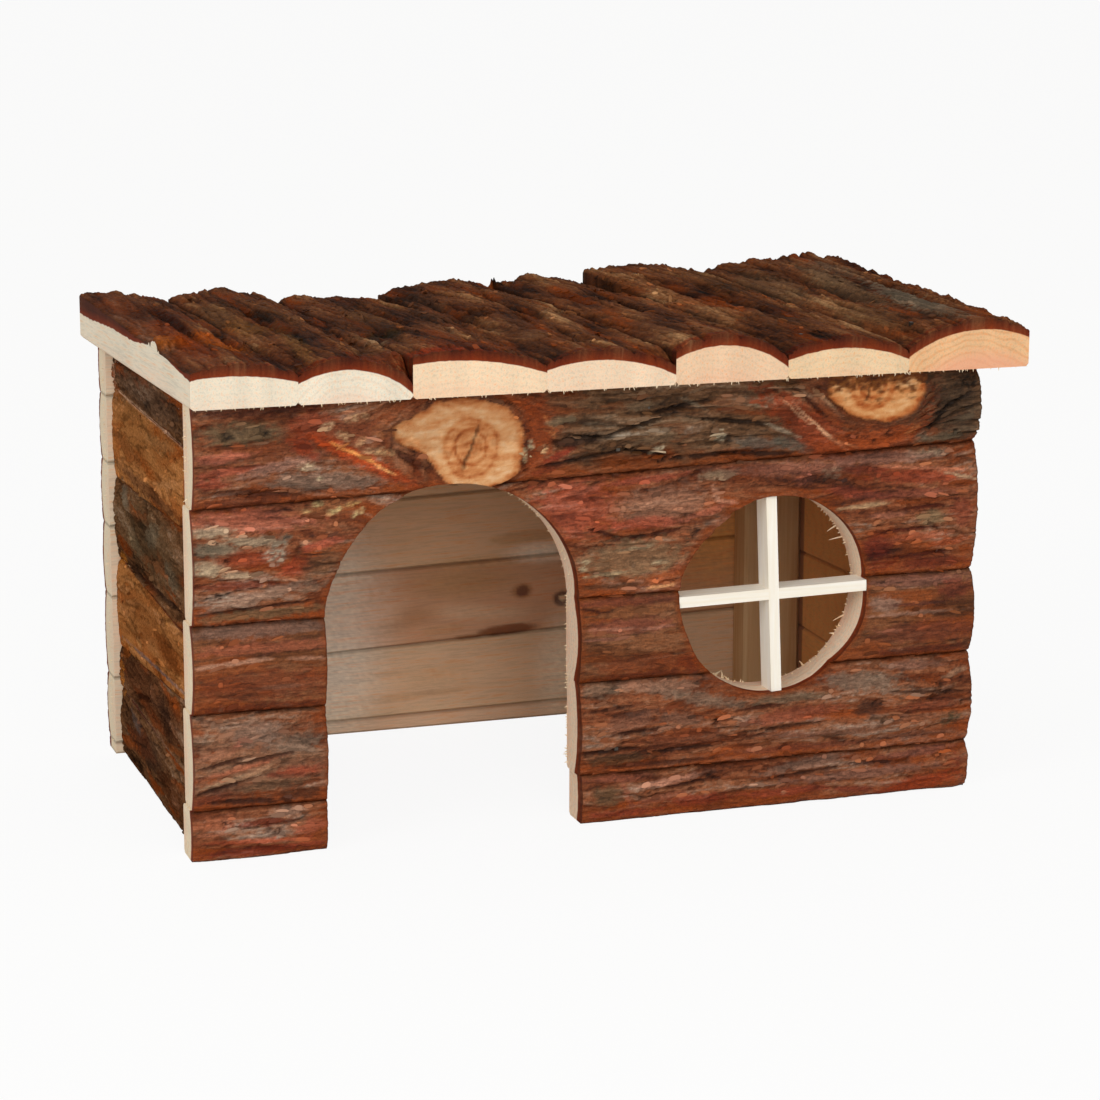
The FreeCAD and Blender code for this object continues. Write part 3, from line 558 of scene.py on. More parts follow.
# %% Marks on the front wall, fourth course, right
MARKS["front"] += (
    (-6, 44.8, 8, 2.6, 0, "867068", 0.85, 0.4), (8, 45, 10, 1.6, -10, "A07468", 0.8, 0.4),
    (18, 44, 12, 3.0, -4, "8E7068", 0.85, 0.4), (30, 39, 16, 2.2, -12, "84706A", 0.85, 0.4),
    (4, 34, 10, 3.2, 12, "8E6054", 0.85, 0.4), (-3, 38.4, 10, 0.7, 4, "4A281E", 1, -0.8),
    (6, 30.4, 13, 0.8, 4, "43231A", 1, -0.9), (20, 33.6, 9, 2.2, -10, "8A645A", 0.85, 0.4),
    (-4, 24.4, 14, 1.0, 3, "3A2018", 1, -1.0), (0, 21.4, 12, 2.2, 0, "5A4434", 0.9, 0.2),
    (22, 27, 16, 3.4, 0, "6E3826", 0.8, 0), (22, 23.0, 14, 0.7, 2, "3C2016", 1, -0.9),
    (14, 18.6, 22, 0.9, 0, "4A2418", 1, -0.7), (38, 45, 14, 1.6, -8, "7E5A52", 0.8, 0.2),
    (33.5, 31, 2.4, 1.6, 20, "3A1C14", 1, -0.9), (60, 44, 20, 1.6, -8, "6E3C30", 0.8, 0),
    (58, 37.4, 14, 1.8, 2, "6C5E54", 0.85, 0.3), (86, 40.6, 16, 3.4, -4, "7E6E6A", 0.9, 0.5),
    (104, 44.6, 12, 1.8, 0, "85605A", 0.85, 0.3), (95, 38.6, 3, 0.9, -30, "96807A", 0.9, 0.4),
    (60, 31.4, 18, 2.6, 4, "96503F", 0.85, 0.3), (48, 34.8, 10, 0.7, 3, "4C2418", 1, -0.8),
    (88, 31.4, 6, 3.2, 0, "4A2E26", 0.95, -0.4), (91, 32.4, 1.6, 1.6, 0, "1E1210", 1, -1.0),
    (92.5, 27, 4, 1.6, 0, "3C2A20", 0.95, -0.5), (110, 35.2, 14, 0.7, -4, "3E241C", 1, -0.9),
    (110, 30.4, 12, 2.2, 2, "7A3A28", 0.85, 0.1), (118, 25.4, 4.6, 2.4, 10, "3C3A2C", 0.95, -0.2),
    (113.8, 37.2, 1.4, 1.1, 0, "120C0B", 1, -1.0), (110.6, 34, 1.2, 0.8, 0, "1C1210", 1, -0.8),
    (121.5, 30.6, 1.2, 0.9, 0, "1C1210", 1, -0.8), (58, 27.6, 16, 0.8, 3, "40251B", 1, -0.9),
    (60, 24.6, 14, 1.4, -4, "7A4A3C", 0.8, 0.2), (80, 24, 14, 1.6, 0, "6A4438", 0.8, 0.2),
    (64, 19.6, 26, 1.4, 0, "70382A", 0.8, 0), (104, 20.4, 18, 1.2, 2, "5A3226", 0.8, 0),
    (106, 26.6, 9, 1.2, 3, "8A5440", 0.85, 0.2), (120, 41, 5, 1.2, 20, "B08878", 0.9, 0.4),
)

# %% Marks on the front wall, lowest course
MARKS["front"] += (
    (-134, 12.4, 8, 2.6, 4, "A2604A", 0.9, 0.3), (-135, 9.0, 5, 0.9, 0, "B0705C", 0.9, 0.3),
    (-110.5, 14.2, 6, 1.7, 0, "BC958C", 1, 0.5), (-103, 8.6, 6, 2.4, 10, "A85C4A", 0.9, 0.3),
    (-115, 8, 3.4, 1.8, 0, "30120C", 0.95, -0.8), (-130.5, 12.4, 1.4, 1.2, 0, "2C120D", 1, -0.8),
    (-122, 5.6, 18, 0.9, -2, "B0543A", 0.9, 0.3), (-120, 2.4, 20, 1.4, 0, "7C2C1A", 0.9, 0),
    (-118, 11.4, 10, 1.2, 0, "70281A", 0.9, -0.2), (-104, 3.0, 7, 0.8, 0, "A04A34", 0.9, 0.2),
    (0, 14.6, 12, 1.4, 0, "9A5A4C", 0.85, 0.2), (-4, 9.2, 5.4, 4.0, 0, "66503F", 0.9, 0.1),
    (-4.4, 9.2, 2.6, 1.9, 10, "46352A", 0.9, -0.4), (3.4, 8, 1.0, 5, 25, "9A5444", 0.9, 0.3),
    (20, 12.5, 13, 1.2, 6, "B8847A", 0.95, 0.5), (24, 10.8, 12, 0.7, 6, "34150E", 1, -1.0),
    (14, 6.6, 10, 1.2, 10, "8E5446", 0.85, 0.2), (28, 5, 12, 2.2, 0, "84321F", 0.85, 0),
    (2, 2.8, 14, 1.2, 0, "8A3A2A", 0.85, 0), (66, 13.4, 17, 2.0, 6, "96736C", 0.95, 0.5),
    (66, 10.6, 14, 0.7, 5, "34170F", 1, -0.9), (92, 11.5, 12, 0.8, -3, "3E1A12", 1, -0.9),
    (86, 8.6, 30, 1.8, 1, "87605A", 0.85, 0.3), (106, 14, 14, 1.6, 3, "86504A", 0.8, 0.2),
    (60, 4.6, 16, 1.7, 0, "9A4634", 0.85, 0.2), (58.6, 4.4, 1.0, 0.6, 0, "F0B8A0", 1, 0.3),
    (108, 3.4, 16, 2.6, 6, "953A1C", 0.9, 0.1), (84, 3.2, 9, 1.2, -4, "7A3428", 0.85, 0),
    (115.5, 12, 1.4, 0.9, 0, "1C0E0B", 1, -0.9), (122, 10, 4, 2.4, 0, "7E3022", 0.8, 0),
)

# %% Marks on the left wall
MARKS["left"] = (
    (0, 137, 60, 7, 0, "4A3A30", 0.7, 0), (53.5, 137, 3.6, 9, 0, "C99A7C", 1, -1.6),
    (0, 129.6, 60, 0.7, 1, "D0A484", 0.95, 0.1), (10, 121, 50, 8, 2, "86562E", 0.75, -0.3),
    (-20, 124, 26, 2.0, -4, "9A6A40", 0.8, 0), (30, 113, 26, 3.2, 6, "7A4A28", 0.8, 0),
    (-28, 112, 28, 1.2, -10, "A87448", 0.8, 0.1), (0, 104.6, 56, 3.2, 0, "5C3A26", 0.85, 0),
    (0, 88, 60, 12, 0, "54422E", 0.7, 0.4), (38, 96, 8, 3.5, 20, "7C6C58", 0.9, 0.5),
    (-10, 92, 12, 4, -14, "70604C", 0.9, 0.5), (-38, 84, 10, 4, 10, "6C5A46", 0.9, 0.5),
    (18, 83, 12, 3, 8, "66543E", 0.9, 0.4), (0, 72.5, 60, 1.6, -2, "2E1D16", 0.95, -1.2),
    (49, 72, 8, 2.2, -14, "B06A28", 0.95, 0), (0, 59, 60, 9, 0, "7C4A26", 0.75, -0.2),
    (10, 66, 30, 1.2, -5, "94582C", 0.8, 0), (-30, 56, 18, 3.4, 5, "6A3818", 0.8, 0),
    (-14, 62, 3.0, 0.8, 40, "C07A3C", 0.9, 0.2), (-26, 66, 2.4, 0.8, 30, "C88848", 0.9, 0.2),
    (-5, 46.8, 52, 0.8, -3, "7E6A62", 0.9, 0.3), (0, 33, 60, 9, 0, "5C3420", 0.75, 0),
    (53, 28.5, 4.6, 6.5, 0, "C8782A", 1, -0.9), (47, 40, 6, 3.2, -20, "9A5220", 0.9, -0.2),
    (-20, 34, 12, 4.5, 15, "2E1C14", 0.9, -0.7), (-34, 26, 18, 1.2, -8, "8A4A24", 0.85, 0.1),
    (20, 30, 16, 1.2, -10, "30190F", 1, -1.0), (0, 23.4, 60, 0.9, 1, "70503E", 0.9, 0.3),
    (10, 14, 34, 6, 0, "3E2A20", 0.85, 0.2), (-30, 10, 24, 6, 0, "4E2814", 0.85, 0),
    (30, 19, 10, 2.2, 10, "5C4C44", 0.9, 0.4),
)

# %% Marks on the roof
MARKS["roof"] = (
    (-137.5, -33, 6, 7, 0, "A85A1C", 0.9, 2.4), (-129, -34, 5, 12, 0, "A04A12", 0.9, 0),
    # the dark marks at x -112, y -40 and y -58 are painted shade where board 1 falls to its joint
    (-122, -24, 10, 12, 0, "B24A16", 0.95, -0.3), (-112, -40, 6, 12, 0, "2E140A", 0.8, -0.8),
    (-58, -74, 15, 5, 0, "8E2E14", 0.85, -0.4), (-80, -70, 10, 8, 0, "6E2812", 0.8, 0),
    (-64, -26, 5, 6, 0, "3A3A26", 0.8, -0.6), (-24, 8, 6, 8, 0, "2A150C", 0.8, -1.0),
    (47, 14, 1.5, 2.8, 20, "9A7A60", 0.9, 0.6), (49.5, 12, 1.5, 3, 20, "150B07", 0.95, -1.0),
    (5.5, 78.5, 1.1, 1.4, 0, "1C100A", 1, 4.0), (8, 77.5, 0.9, 1.6, 0, "1C100A", 1, 1.0),
    (-131, -30, 6, 44, 0, "7A3210", 0.7, 0), (-120, -30, 8, 20, 10, "9C521C", 0.9, -0.6),
    (-126, 20, 4, 30, 0, "6E2E14", 0.8, 0), (-133, 40, 4, 22, 0, "5C2A16", 0.8, 0.3),
    (-112, -58, 10, 16, 0, "54240F", 0.7, 0), (-106, 30, 7, 22, -4, "5E4430", 0.7, 0.3),
    (-97.5, -36, 3, 40, -5, "8A6846", 0.7, 0.5), (-104, -2, 5, 18, 8, "7E5630", 0.7, 0.2),
    (-90, 20, 5, 34, 0, "4A3020", 0.6, 0), (-79, -52, 6, 26, 4, "4C3020", 0.5, 0),
    (-72, -45, 4, 2.6, 20, "A48A78", 0.9, 0.5), (-66, -30, 10, 9, 0, "34281C", 0.8, -0.4),
    (-52, -64, 12, 12, 0, "70301A", 0.75, 0), (-40, -60, 16, 9, 0, "7A3A1C", 0.7, 0.2),
    (-60, 10, 6, 40, -5, "46301F", 0.6, 0), (-50, 40, 4, 30, 0, "34221A", 0.7, -0.4),
    (-34, 20, 7, 50, -6, "5C4034", 0.6, 0.3), (-20, -40, 5, 34, -4, "503428", 0.6, 0),
    (-9, 20, 1.2, 46, -5, "140B08", 0.95, -1.6), (12, -10, 1.0, 40, 8, "140B08", 0.95, -1.6),
    (3, 44, 8, 20, 0, "5C3826", 0.7, 0.3), (20, -50, 8, 20, 0, "4C2E22", 0.6, 0),
    (30, 20, 1.0, 40, 0, "1A0F0B", 0.95, -1.4), (38, 40, 8, 26, -6, "74401F", 0.6, 0.3),
    (48, -30, 5, 34, 0, "58402F", 0.6, 0.3), (58, 10, 1.0, 44, 6, "180D09", 0.95, -1.5),
    (66, -40, 8, 20, 0, "4A3024", 0.6, 0), (76, 40, 9, 30, 0, "64442A", 0.6, 0.3),
    (84, -10, 1.1, 44, -7, "180E0A", 0.95, -1.5), (94, 30, 9, 34, 0, "5E4A3C", 0.7, 0.3),
    (100, -40, 7, 26, 0, "54402F", 0.6, 0.2), (112, 10, 5, 50, -3, "6A584A", 0.75, 0.3),
    # the pale grey streak at x 121 on the last board is a painted sheen
    (121, -34, 7, 40, -3, "94867E", 0.95, 0.3), (124, 40, 6, 26, -2, "6E5A50", 0.8, 0.3),
    (134.5, 10, 1.4, 60, -1, "2A120C", 0.95, -1.6),
    (138, 0, 2.4, 70, 0, "5C2412", 0.85, 0.2), (118, -64, 12, 10, 0, "5A3A28", 0.6, 0),
    (-52, -77, 22, 2.6, 0, "8C3214", 0.8, 0), (40, -78, 100, 1.8, 0, "6A2412", 0.8, 0),
    (-100, -78, 36, 1.8, 0, "74280F", 0.8, 0),
)

# %% Marks on the right wall
MARKS["right"] = (
    (0, 134, 50, 8, 2, "5A3A2A", 0.6, 0), (-30, 104, 22, 8, -6, "87604E", 0.7, 0.4),
    (26, 100, 20, 5, 8, "8A3E2C", 0.7, 0), (10, 75, 40, 5, 0, "8C6A5E", 0.6, 0.3),
    (-24, 46, 20, 6, 10, "6E5A4C", 0.7, 0.4), (30, 38, 16, 5, -8, "9A5038", 0.7, 0),
    (0, 14, 46, 5, 3, "6A3424", 0.6, 0),
)

# %% Marks on the back wall's bark
MARKS["back"] = (
    (-90, 136, 40, 4, 2, "6A3A28", 0.6, 0), (60, 137, 46, 4, -2, "4E3A30", 0.7, 0.3),
    (-60, 116, 36, 6, 4, "87655A", 0.7, 0.4), (40, 118, 24, 4, -4, "97483A", 0.7, 0),
    (96, 100, 22, 6, 0, "5C4636", 0.7, 0.4), (-100, 92, 26, 5, -5, "93503C", 0.7, 0),
    (-10, 96, 26, 5, 3, "7C6C60", 0.7, 0.5), (60, 76, 40, 6, 2, "8C5A4C", 0.6, 0.2),
    (-70, 70, 36, 6, 4, "5A4438", 0.7, 0.3), (-20, 46, 44, 8, 3, "83503F", 0.6, 0.2),
    (86, 46, 30, 8, 4, "6E5C52", 0.7, 0.5), (-100, 40, 24, 7, 0, "7A4434", 0.7, 0),
    (20, 17, 60, 6, 2, "623626", 0.6, 0), (-90, 14, 26, 5, 0, "8A7066", 0.7, 0.4),
)
print("marks by hand:", {side: len(marks) for side, marks in MARKS.items()})


# %% [markdown]
# ## Laying the marks on
# A mark is painted and pressed into the bark at once, so a dark split is a groove as well. Noise
# tears its outline, and it keeps the light and dark of the bark under it, so it looks grown.

# %% Laying the marks on
FLECK = 5.0         # mm; a shorter mark on bark is broken up into flecks
# the large marks on the inner planks are painted light and painted shade
LIGHT_AND_SHADE_AREA = 3.4    # mm; a higher mark on the inner planks is a light or dark area
MARK_SHARE = 0.85   # how much of the bark under it a mark of full strength covers


def mark_mask(side, high, away, ragged):
    """How much of a mark lies on each place, from how far out the place is: 1 is the outline."""
    if side != "inside":
        return 1 - step(0.55, 1.25, away + ragged)
    # soft all round, as painted light and painted shade are
    if high > LIGHT_AND_SHADE_AREA:   # no outline to be seen
        return 1 - step(0.2, 1.3, away + 0.15 * ragged)
    return 1 - step(0.72, 1.12, away + 0.25 * ragged)


def lay_marks(side, x, z, height, colour):
    """Adds a wall's marks to the heights and colours of one of its boards."""
    ragged = 0.34 * rough(x / 3.5, z / 2.0, 77, 3) + 0.22 * rough(x / 1.5, z / 0.8, 79, 2)
    broken = 0.25 + 0.75 * step(-0.35, 0.35, rough(x / 1.7, z / 1.0, 80, 2))
    light = colour.mean(axis=1)
    texture = np.clip(light / light.mean(), 0.3, 2.0) ** 0.55
    texture *= 1 + 0.2 * rough(x / 2.2, z / 0.9, 78, 3)
    for mx, mz, long, high, turn, code, strength, lift in MARKS[side]:
        reach = 1.7 * max(long, high)
        if abs(x - mx).min() > reach or abs(z - mz).min() > reach:
            continue
        cos, sin = math.cos(math.radians(turn)), math.sin(math.radians(turn))
        a = ((x - mx) * cos + (z - mz) * sin) / long
        b = ((z - mz) * cos - (x - mx) * sin) / high
        mask = mark_mask(side, high, np.hypot(a, b), ragged)
        if long < FLECK and side != "inside":
            mask *= broken
        height += lift * mask
        paint = np.array(linear(code)[:3]) * (LACQUER if side in ("front", "roof") else 1)
        colour[:] = painted(colour, paint * texture[:, None], mask * strength * MARK_SHARE)
    return height, colour


# %% [markdown]
# ## Sawn knots
# Where a branch grew out of the log, the saw has cut it flush with the bark. That leaves a flat
# pale oval with growth rings round its own heart, a drying crack, and bark that flows round it.
# The bark inside the outline is planed down to a plane, and the rings are painted at their real
# spacing of 1 to 2 mm. Bark is left on the upper part of the second knot, which darkens it.

# %% Knots
class Knot:
    """A sawn knot. Streaks of bark bend round its middle within a half length and a half height.
    The plane is its height over the board's sawn face, the disc is the radius of its inner rings,
    and stain is how much bark is left on it, from 0 to 1. The outline is given by angles in
    degrees round the heart, each with its radius."""

    def __init__(self, middle, bend, heart, plane, disc, stain, outline):
        self.x, self.z = middle
        self.long, self.high = bend
        self.heart_x, self.heart_z = heart
        self.plane, self.disc, self.stain, self.outline = plane, disc, stain, outline


KNOTS = {
    "front": (
        Knot((-53.5, 129.0), (23.0, 14.5), (-50.0, 127.0), 14.2, 8.8, 0.25,
             ((0, 18), (30, 18), (60, 16), (90, 16), (120, 18), (150, 22), (164, 27.5), (172, 25),
              (182, 16), (196, 13.5), (215, 13), (240, 14), (270, 15), (300, 15), (330, 17.5))),
        Knot((89.0, 141.5), (17.0, 14.0), (87.0, 141.0), 14.0, 8.0, 1.0,
             ((0, 20), (90, 11), (180, 16), (195, 16.5), (215, 13.5), (240, 13), (270, 12.8),
              (300, 15), (330, 18.5))),
    ),
}
KNOT_RING = 1.9   # mm from ring to ring
KNOT_WOOD = ("7E3A16", "B0602E", "D08A54", "E0A874", "ECC49A")
KNOT_BARK = ("2A140A", "6A3A18", "9A6430")
print("knots:", {side: len(knots) for side, knots in KNOTS.items()})


def flow_round(side, x, z):
    """Height on the wall, bent so that streaks of bark pass round the knots."""
    bent = z.copy()
    for knot in KNOTS.get(side, ()):
        a, b = (x - knot.x) / knot.long, (z - knot.z) / knot.high
        away = np.maximum(a * a + b * b, 1.0)
        bent += -(z - knot.z) * np.minimum(1.0, 1 / away) * np.exp(-(away - 1) * 0.35)
    return bent


# %% Sawing the knots
def cut_knots(side, x, z, thick, height, colour, bare):
    """Planes the sawn knots flat and paints their rings."""
    for knot in KNOTS.get(side, ()):
        if abs(x - knot.x).min() > 2 * knot.long or abs(z - knot.z).min() > 2 * knot.high:
            continue
        dx, dz, disc, stain = x - knot.heart_x, z - knot.heart_z, knot.disc, knot.stain
        # the outline, a little ragged, and a swollen rim of bark round it
        angles, radii = zip(*knot.outline)
        reach = np.interp(np.degrees(np.arctan2(dz, dx)) % 360, angles, radii, period=360)
        edge = np.hypot(dx, dz) / reach + 0.05 * rough(x / 6, z / 6, 91, 3)
        edge += 0.012 * rough(x / 1.6, z / 1.6, 95, 2)
        mask = 1 - step(0.955, 1.0, edge)
        rim = step(0.93, 1.0, edge) * (1 - step(1.0, 1.14, edge))
        # rings round the heart inside the disc, flamed wood outside it, two dark ring lines
        heart = np.hypot(dx, dz * 0.96) + 0.8 * soft(x / 8, z / 8, 92)
        rings = 0.5 + 0.5 * np.sin(heart * 2 * np.pi / KNOT_RING)
        inside = 1 - step(disc - 1.2, disc + 0.4, heart)
        flame = rough(dx / 7, dz / 2.2, 93, 4)
        share = (0.74 + 0.26 * flame - inside * (0.38 - 0.025 * heart) + 0.10 * rings * inside
                 - 0.35 * step(0.80, 0.97, edge) + 0.10 * rough(x / 1.3, z / 1.3, 96, 2))
        ring_line = (np.exp(-((heart - disc) / 0.8) ** 2)
                     + 0.8 * np.exp(-((heart - 0.62 * disc) / 0.7) ** 2))
        share -= 0.34 * ring_line
        wood = ramp(KNOT_WOOD, share)
        # the drying crack runs through the heart
        crack = np.abs(dx * 0.93 - dz * 0.37 + 0.6 * soft(x / 3, z / 3, 94))
        split = (1 - step(0.2, 0.55, crack)) * (1 - step(disc - 3, disc - 0.5, heart))
        wood *= (1 - 0.65 * split)[:, None]
        # bark that the saw left on
        left_on = stain * step(-0.1, 0.5, rough(dx / 4, dz / 2.6, 97, 3) * 0.6 + dz / 9 + 0.46 * stain)
        wood = painted(wood, ramp(KNOT_BARK, 0.5 + 0.4 * rough(x / 2, z / 1.4, 98, 3)), left_on)
        wood *= np.array((1.0, 0.92 + 0.08 * (1 - stain), 0.78 + 0.22 * (1 - stain)))
        flat = knot.plane - thick + 0.10 * rings * inside - 0.5 * split
        height[:] = height * (1 - mask) + flat * mask
        height += 0.6 * rim * (1 - mask)
        colour[:] = painted(colour, wood, mask)
        # the rim round the knot is darkened: partly its darker bark, partly painted shade at its edge
        colour *= (1 - 0.35 * rim * (1 - mask))[:, None]
        bare[:] = np.maximum(bare, mask)


# %% [markdown]
# ## Which bark grows where
# The front wall's third course is smooth, its top course is furrowed on the right and scaly on the
# left, the others are scaly. The left wall has peeled boards between weathered ones. The roof
# boards are all old and dark, and the left one is a little scaly along its outer edge. The back
# and the right wall have boards of three kinds.

# %% Kinds of each side
BACK_BARK = (SCALY, FURROWED, SCALY, SMOOTH, SCALY, FURROWED, SMOOTH)
RIGHT_BARK = (FURROWED, SCALY, SMOOTH, SCALY, FURROWED)
SEEDS = {"front": 100, "back": 300, "left": 500, "right": 700, "roof": 900}
FRAYED = {"roof": 0.4, "left": 0.3}   # mm of bark that is worn off at the joints; 0.9 elsewhere


def kinds_of(side, number, x):
    """The two kinds of bark on a board, and how much of the second there is at x."""
    none = np.zeros(x.shape)
    if side == "front" and number == 1:   # furrowed on the right, but for a scaly patch
        patch = 0.8 * step(58, 66, x) * (1 - step(98, 106, x))
        return SCALY, FURROWED, step(-40, -10, x) * (1 - patch)
    if side == "front":
        return (SMOOTH if number == 3 else SCALY), SCALY, none
    if side == "left":
        return (PEELED if number in (2, 4) else WEATHERED), SCALY, none
    if side == "roof":
        return ROOFING, SCALY, 0.35 * (1 - step(-138, -118, x))
    return (BACK_BARK if side == "back" else RIGHT_BARK)[number - 1], SCALY, none


def past_openings(x, z):
    """Distance in mm from the edge of the nearest opening in the front wall; negative inside it."""
    window = np.hypot(x - WINDOW_X, z - WINDOW_Z) - WINDOW_DIAMETER / 2
    door = np.where(z > DOOR_SPRING, np.hypot(x - DOOR_X, z - DOOR_SPRING), abs(x - DOOR_X))
    return np.minimum(window, door - DOOR_WIDTH / 2)


print("wood between doorway and window:", round(WINDOW_X - WINDOW_DIAMETER / 2 - DOOR_RIGHT, 1), "mm")


# %% [markdown]
# ## Bark of the roof
# The roof's bark is the thickest. Furrows run along each board where the solids have them too.
# Where a neighbour stands higher, the bark swells up to it, and along the back and down the right
# side it ends ragged.

# %% Bark of the roof
def roof_relief(number, slab, s, t, seed, height, colour):
    """Adds furrows, swollen joints and ragged edges to the bark of a roof board."""
    share, width = s / slab.length, slab.width(s)
    wander, torn = rough(s / 9, t / 30, seed + 75, 3), rough(s / 5, t / 2, seed + 76, 3)
    for part, begin, end, wide, deep in BARK_FURROWS[number - 1]:
        run_out = (end - begin) * FURROW_RUN_OUT
        depth = deep * np.clip(np.minimum(share - begin, end - share) / run_out, 0, 1)
        away = np.abs(t - part * width + 0.9 * wander) / (wide / 2)
        cut = depth * np.clip(1 - away, 0, 1) * (1 + 0.25 * torn)
        height -= cut
        # painted shade in the furrow, darker where it is cut deeper
        colour = colour * (1 - 0.28 * np.clip(cut, 0, 2.6))[:, None]
    for other, edge, away in ((number - 2, 1, t), (number, 3, width - t)):
        if 0 <= other < len(ROOF_BOARDS):   # bark of a lower edge swells up to its neighbour's
            beside = walls["roof"][other]
            rise = np.clip(beside.blend(beside.profiles[4 - edge], s)
                           - slab.blend(slab.profiles[edge], s), 0, 8)
            height += (0.85 * rise * np.exp(-(away / 5.5) ** 2) * step(0.0, 0.07, share)
                       * (1 - step(0.60, 0.95, share)))
    height += 1.3 * step(slab.length - 9, slab.length, s) * rough(t / 9, s / 11, seed + 73, 3)
    if number == len(ROOF_BOARDS):   # a ragged ridge of bark runs along the outer edge
        height += 1.3 * step(width - 11, width - 5, t) * rough(s / 9, t / 6, seed + 74, 4)
    return height, colour


# %% Bark of each board
def bark_of(side, number, slab, s, t):
    """Height, colour and bareness of the bark at places of one board."""
    ground = slab.place(s, t, np.zeros(s.shape))
    # the two axes of the marks: x and z, on the side walls y and z, on the roof x and y
    first_axis, second_axis = {"roof": (0, 1), "left": (1, 2), "right": (1, 2)}.get(side, (0, 2))
    x, z = ground[:, first_axis], ground[:, second_axis]
    seed = SEEDS[side] + 11 * number
    across = t + (flow_round(side, x, z) - z if side != "roof" else 0)
    first, second, share = kinds_of(side, number, x)
    height, colour = bark_skin(first, s, across, seed)
    if share.max() > 0:
        other_height, other_colour = bark_skin(second, s, across, seed + 5)
        height = height * (1 - share) + other_height * share
        colour = painted(colour, other_colour, share)
    if side == "front":   # the outer bark is thin low on each course, so the rust-red shows
        warm = 0.6 * (1 - step(1.0, 7.0, t + 4.0 * rough(s / 18, t / 9, seed + 91, 3)))
        colour = painted(colour, RUST, warm)
    height, colour = lay_marks(side, x, z, height, colour)
    if side == "roof":
        height, colour = roof_relief(number, slab, s, t, seed, height, colour)
    from_joint = np.minimum(t, slab.width(s) - t)
    fray = 1 - step(0.0, 1.1, from_joint + 0.4 * rough(s / 4, t / 3, seed + 71, 3))
    height -= FRAYED.get(side, 0.9) * fray
    # the bark is also made darker along the joints: up to 15% on the left wall, up to half elsewhere
    colour *= (1 - (0.15 if side == "left" else 0.5) * fray)[:, None]
    if side in ("front", "back"):   # bark bulges over the sawn edges, so the joints are shallow
        height += 1.3 * np.exp(-(from_joint / 3.2) ** 2) * step(0, 5, WALL_RIGHT - x)
    if side == "front":   # rust-red inner bark shows where the openings are sawn
        cut = past_openings(x, z) + 0.7 * rough(s / 5, t / 3, seed + 72, 3)
        burnt = np.where(x > 0, 0.55, 0.35) * (1 - step(0.4, 2.2, cut))
        colour = painted(colour, 0.8 * RUST, burnt)
    bare = np.zeros(s.shape)
    cut_knots(side, x, z, slab.thickness(s, t), height, colour, bare)
    return height, np.clip(colour, 0, 1), bare


# %% [markdown]
# ## From sizes to a mesh
# A dressed board is one closed mesh. Its outline, seen from the end, has many points on the bark
# side and fewer on the sawn side, and is repeated at many stations along the board. The sawn face
# has its two long edges eased by about a millimetre, so two boards side by side show a thin dark
# line between them. The two ends are closed with thin triangles.

# %% Building a board
EASED_WIDE, EASED_DEEP = 0.9, 1.0   # mm, the eased edges of the sawn face
THINNEST = 1.0                      # mm of wood that stays under the deepest cracks
BARK, SAWN = 0, 1                   # a board's two materials
MESH_STEPS = {"front": (0.75, 0.48), "back": (0.85, 0.75), "left": (0.85, 0.6),
              "right": (0.85, 0.6), "roof": (0.75, 0.5)}   # mm along the board and across its bark
INNER_STRIPS = {"front": 5, "back": 36, "left": 5, "right": 5, "roof": 18}   # across the sawn face,
# many on the back wall, because its inner face is seen through the openings


def quads(*corners):
    """Four-sided faces from four arrays of vertex numbers, one array for each corner."""
    return np.stack(corners, axis=-1).reshape(-1, 4)


def end_cap(top, low, turned):
    """Triangles between the bark side and the sawn side of a board's end."""
    faces, a, b = [], 0, 0
    ribs, strips = len(top) - 1, len(low) - 1
    while a < ribs or b < strips:
        if b == strips or (a < ribs and (a + 1) / ribs <= (b + 1) / strips):
            triangle = [top[a], top[a + 1], low[b]]
            a += 1
        else:
            triangle = [top[a], low[b + 1], low[b]]
            b += 1
        faces.append(triangle[::-1] if turned else triangle)
    return faces


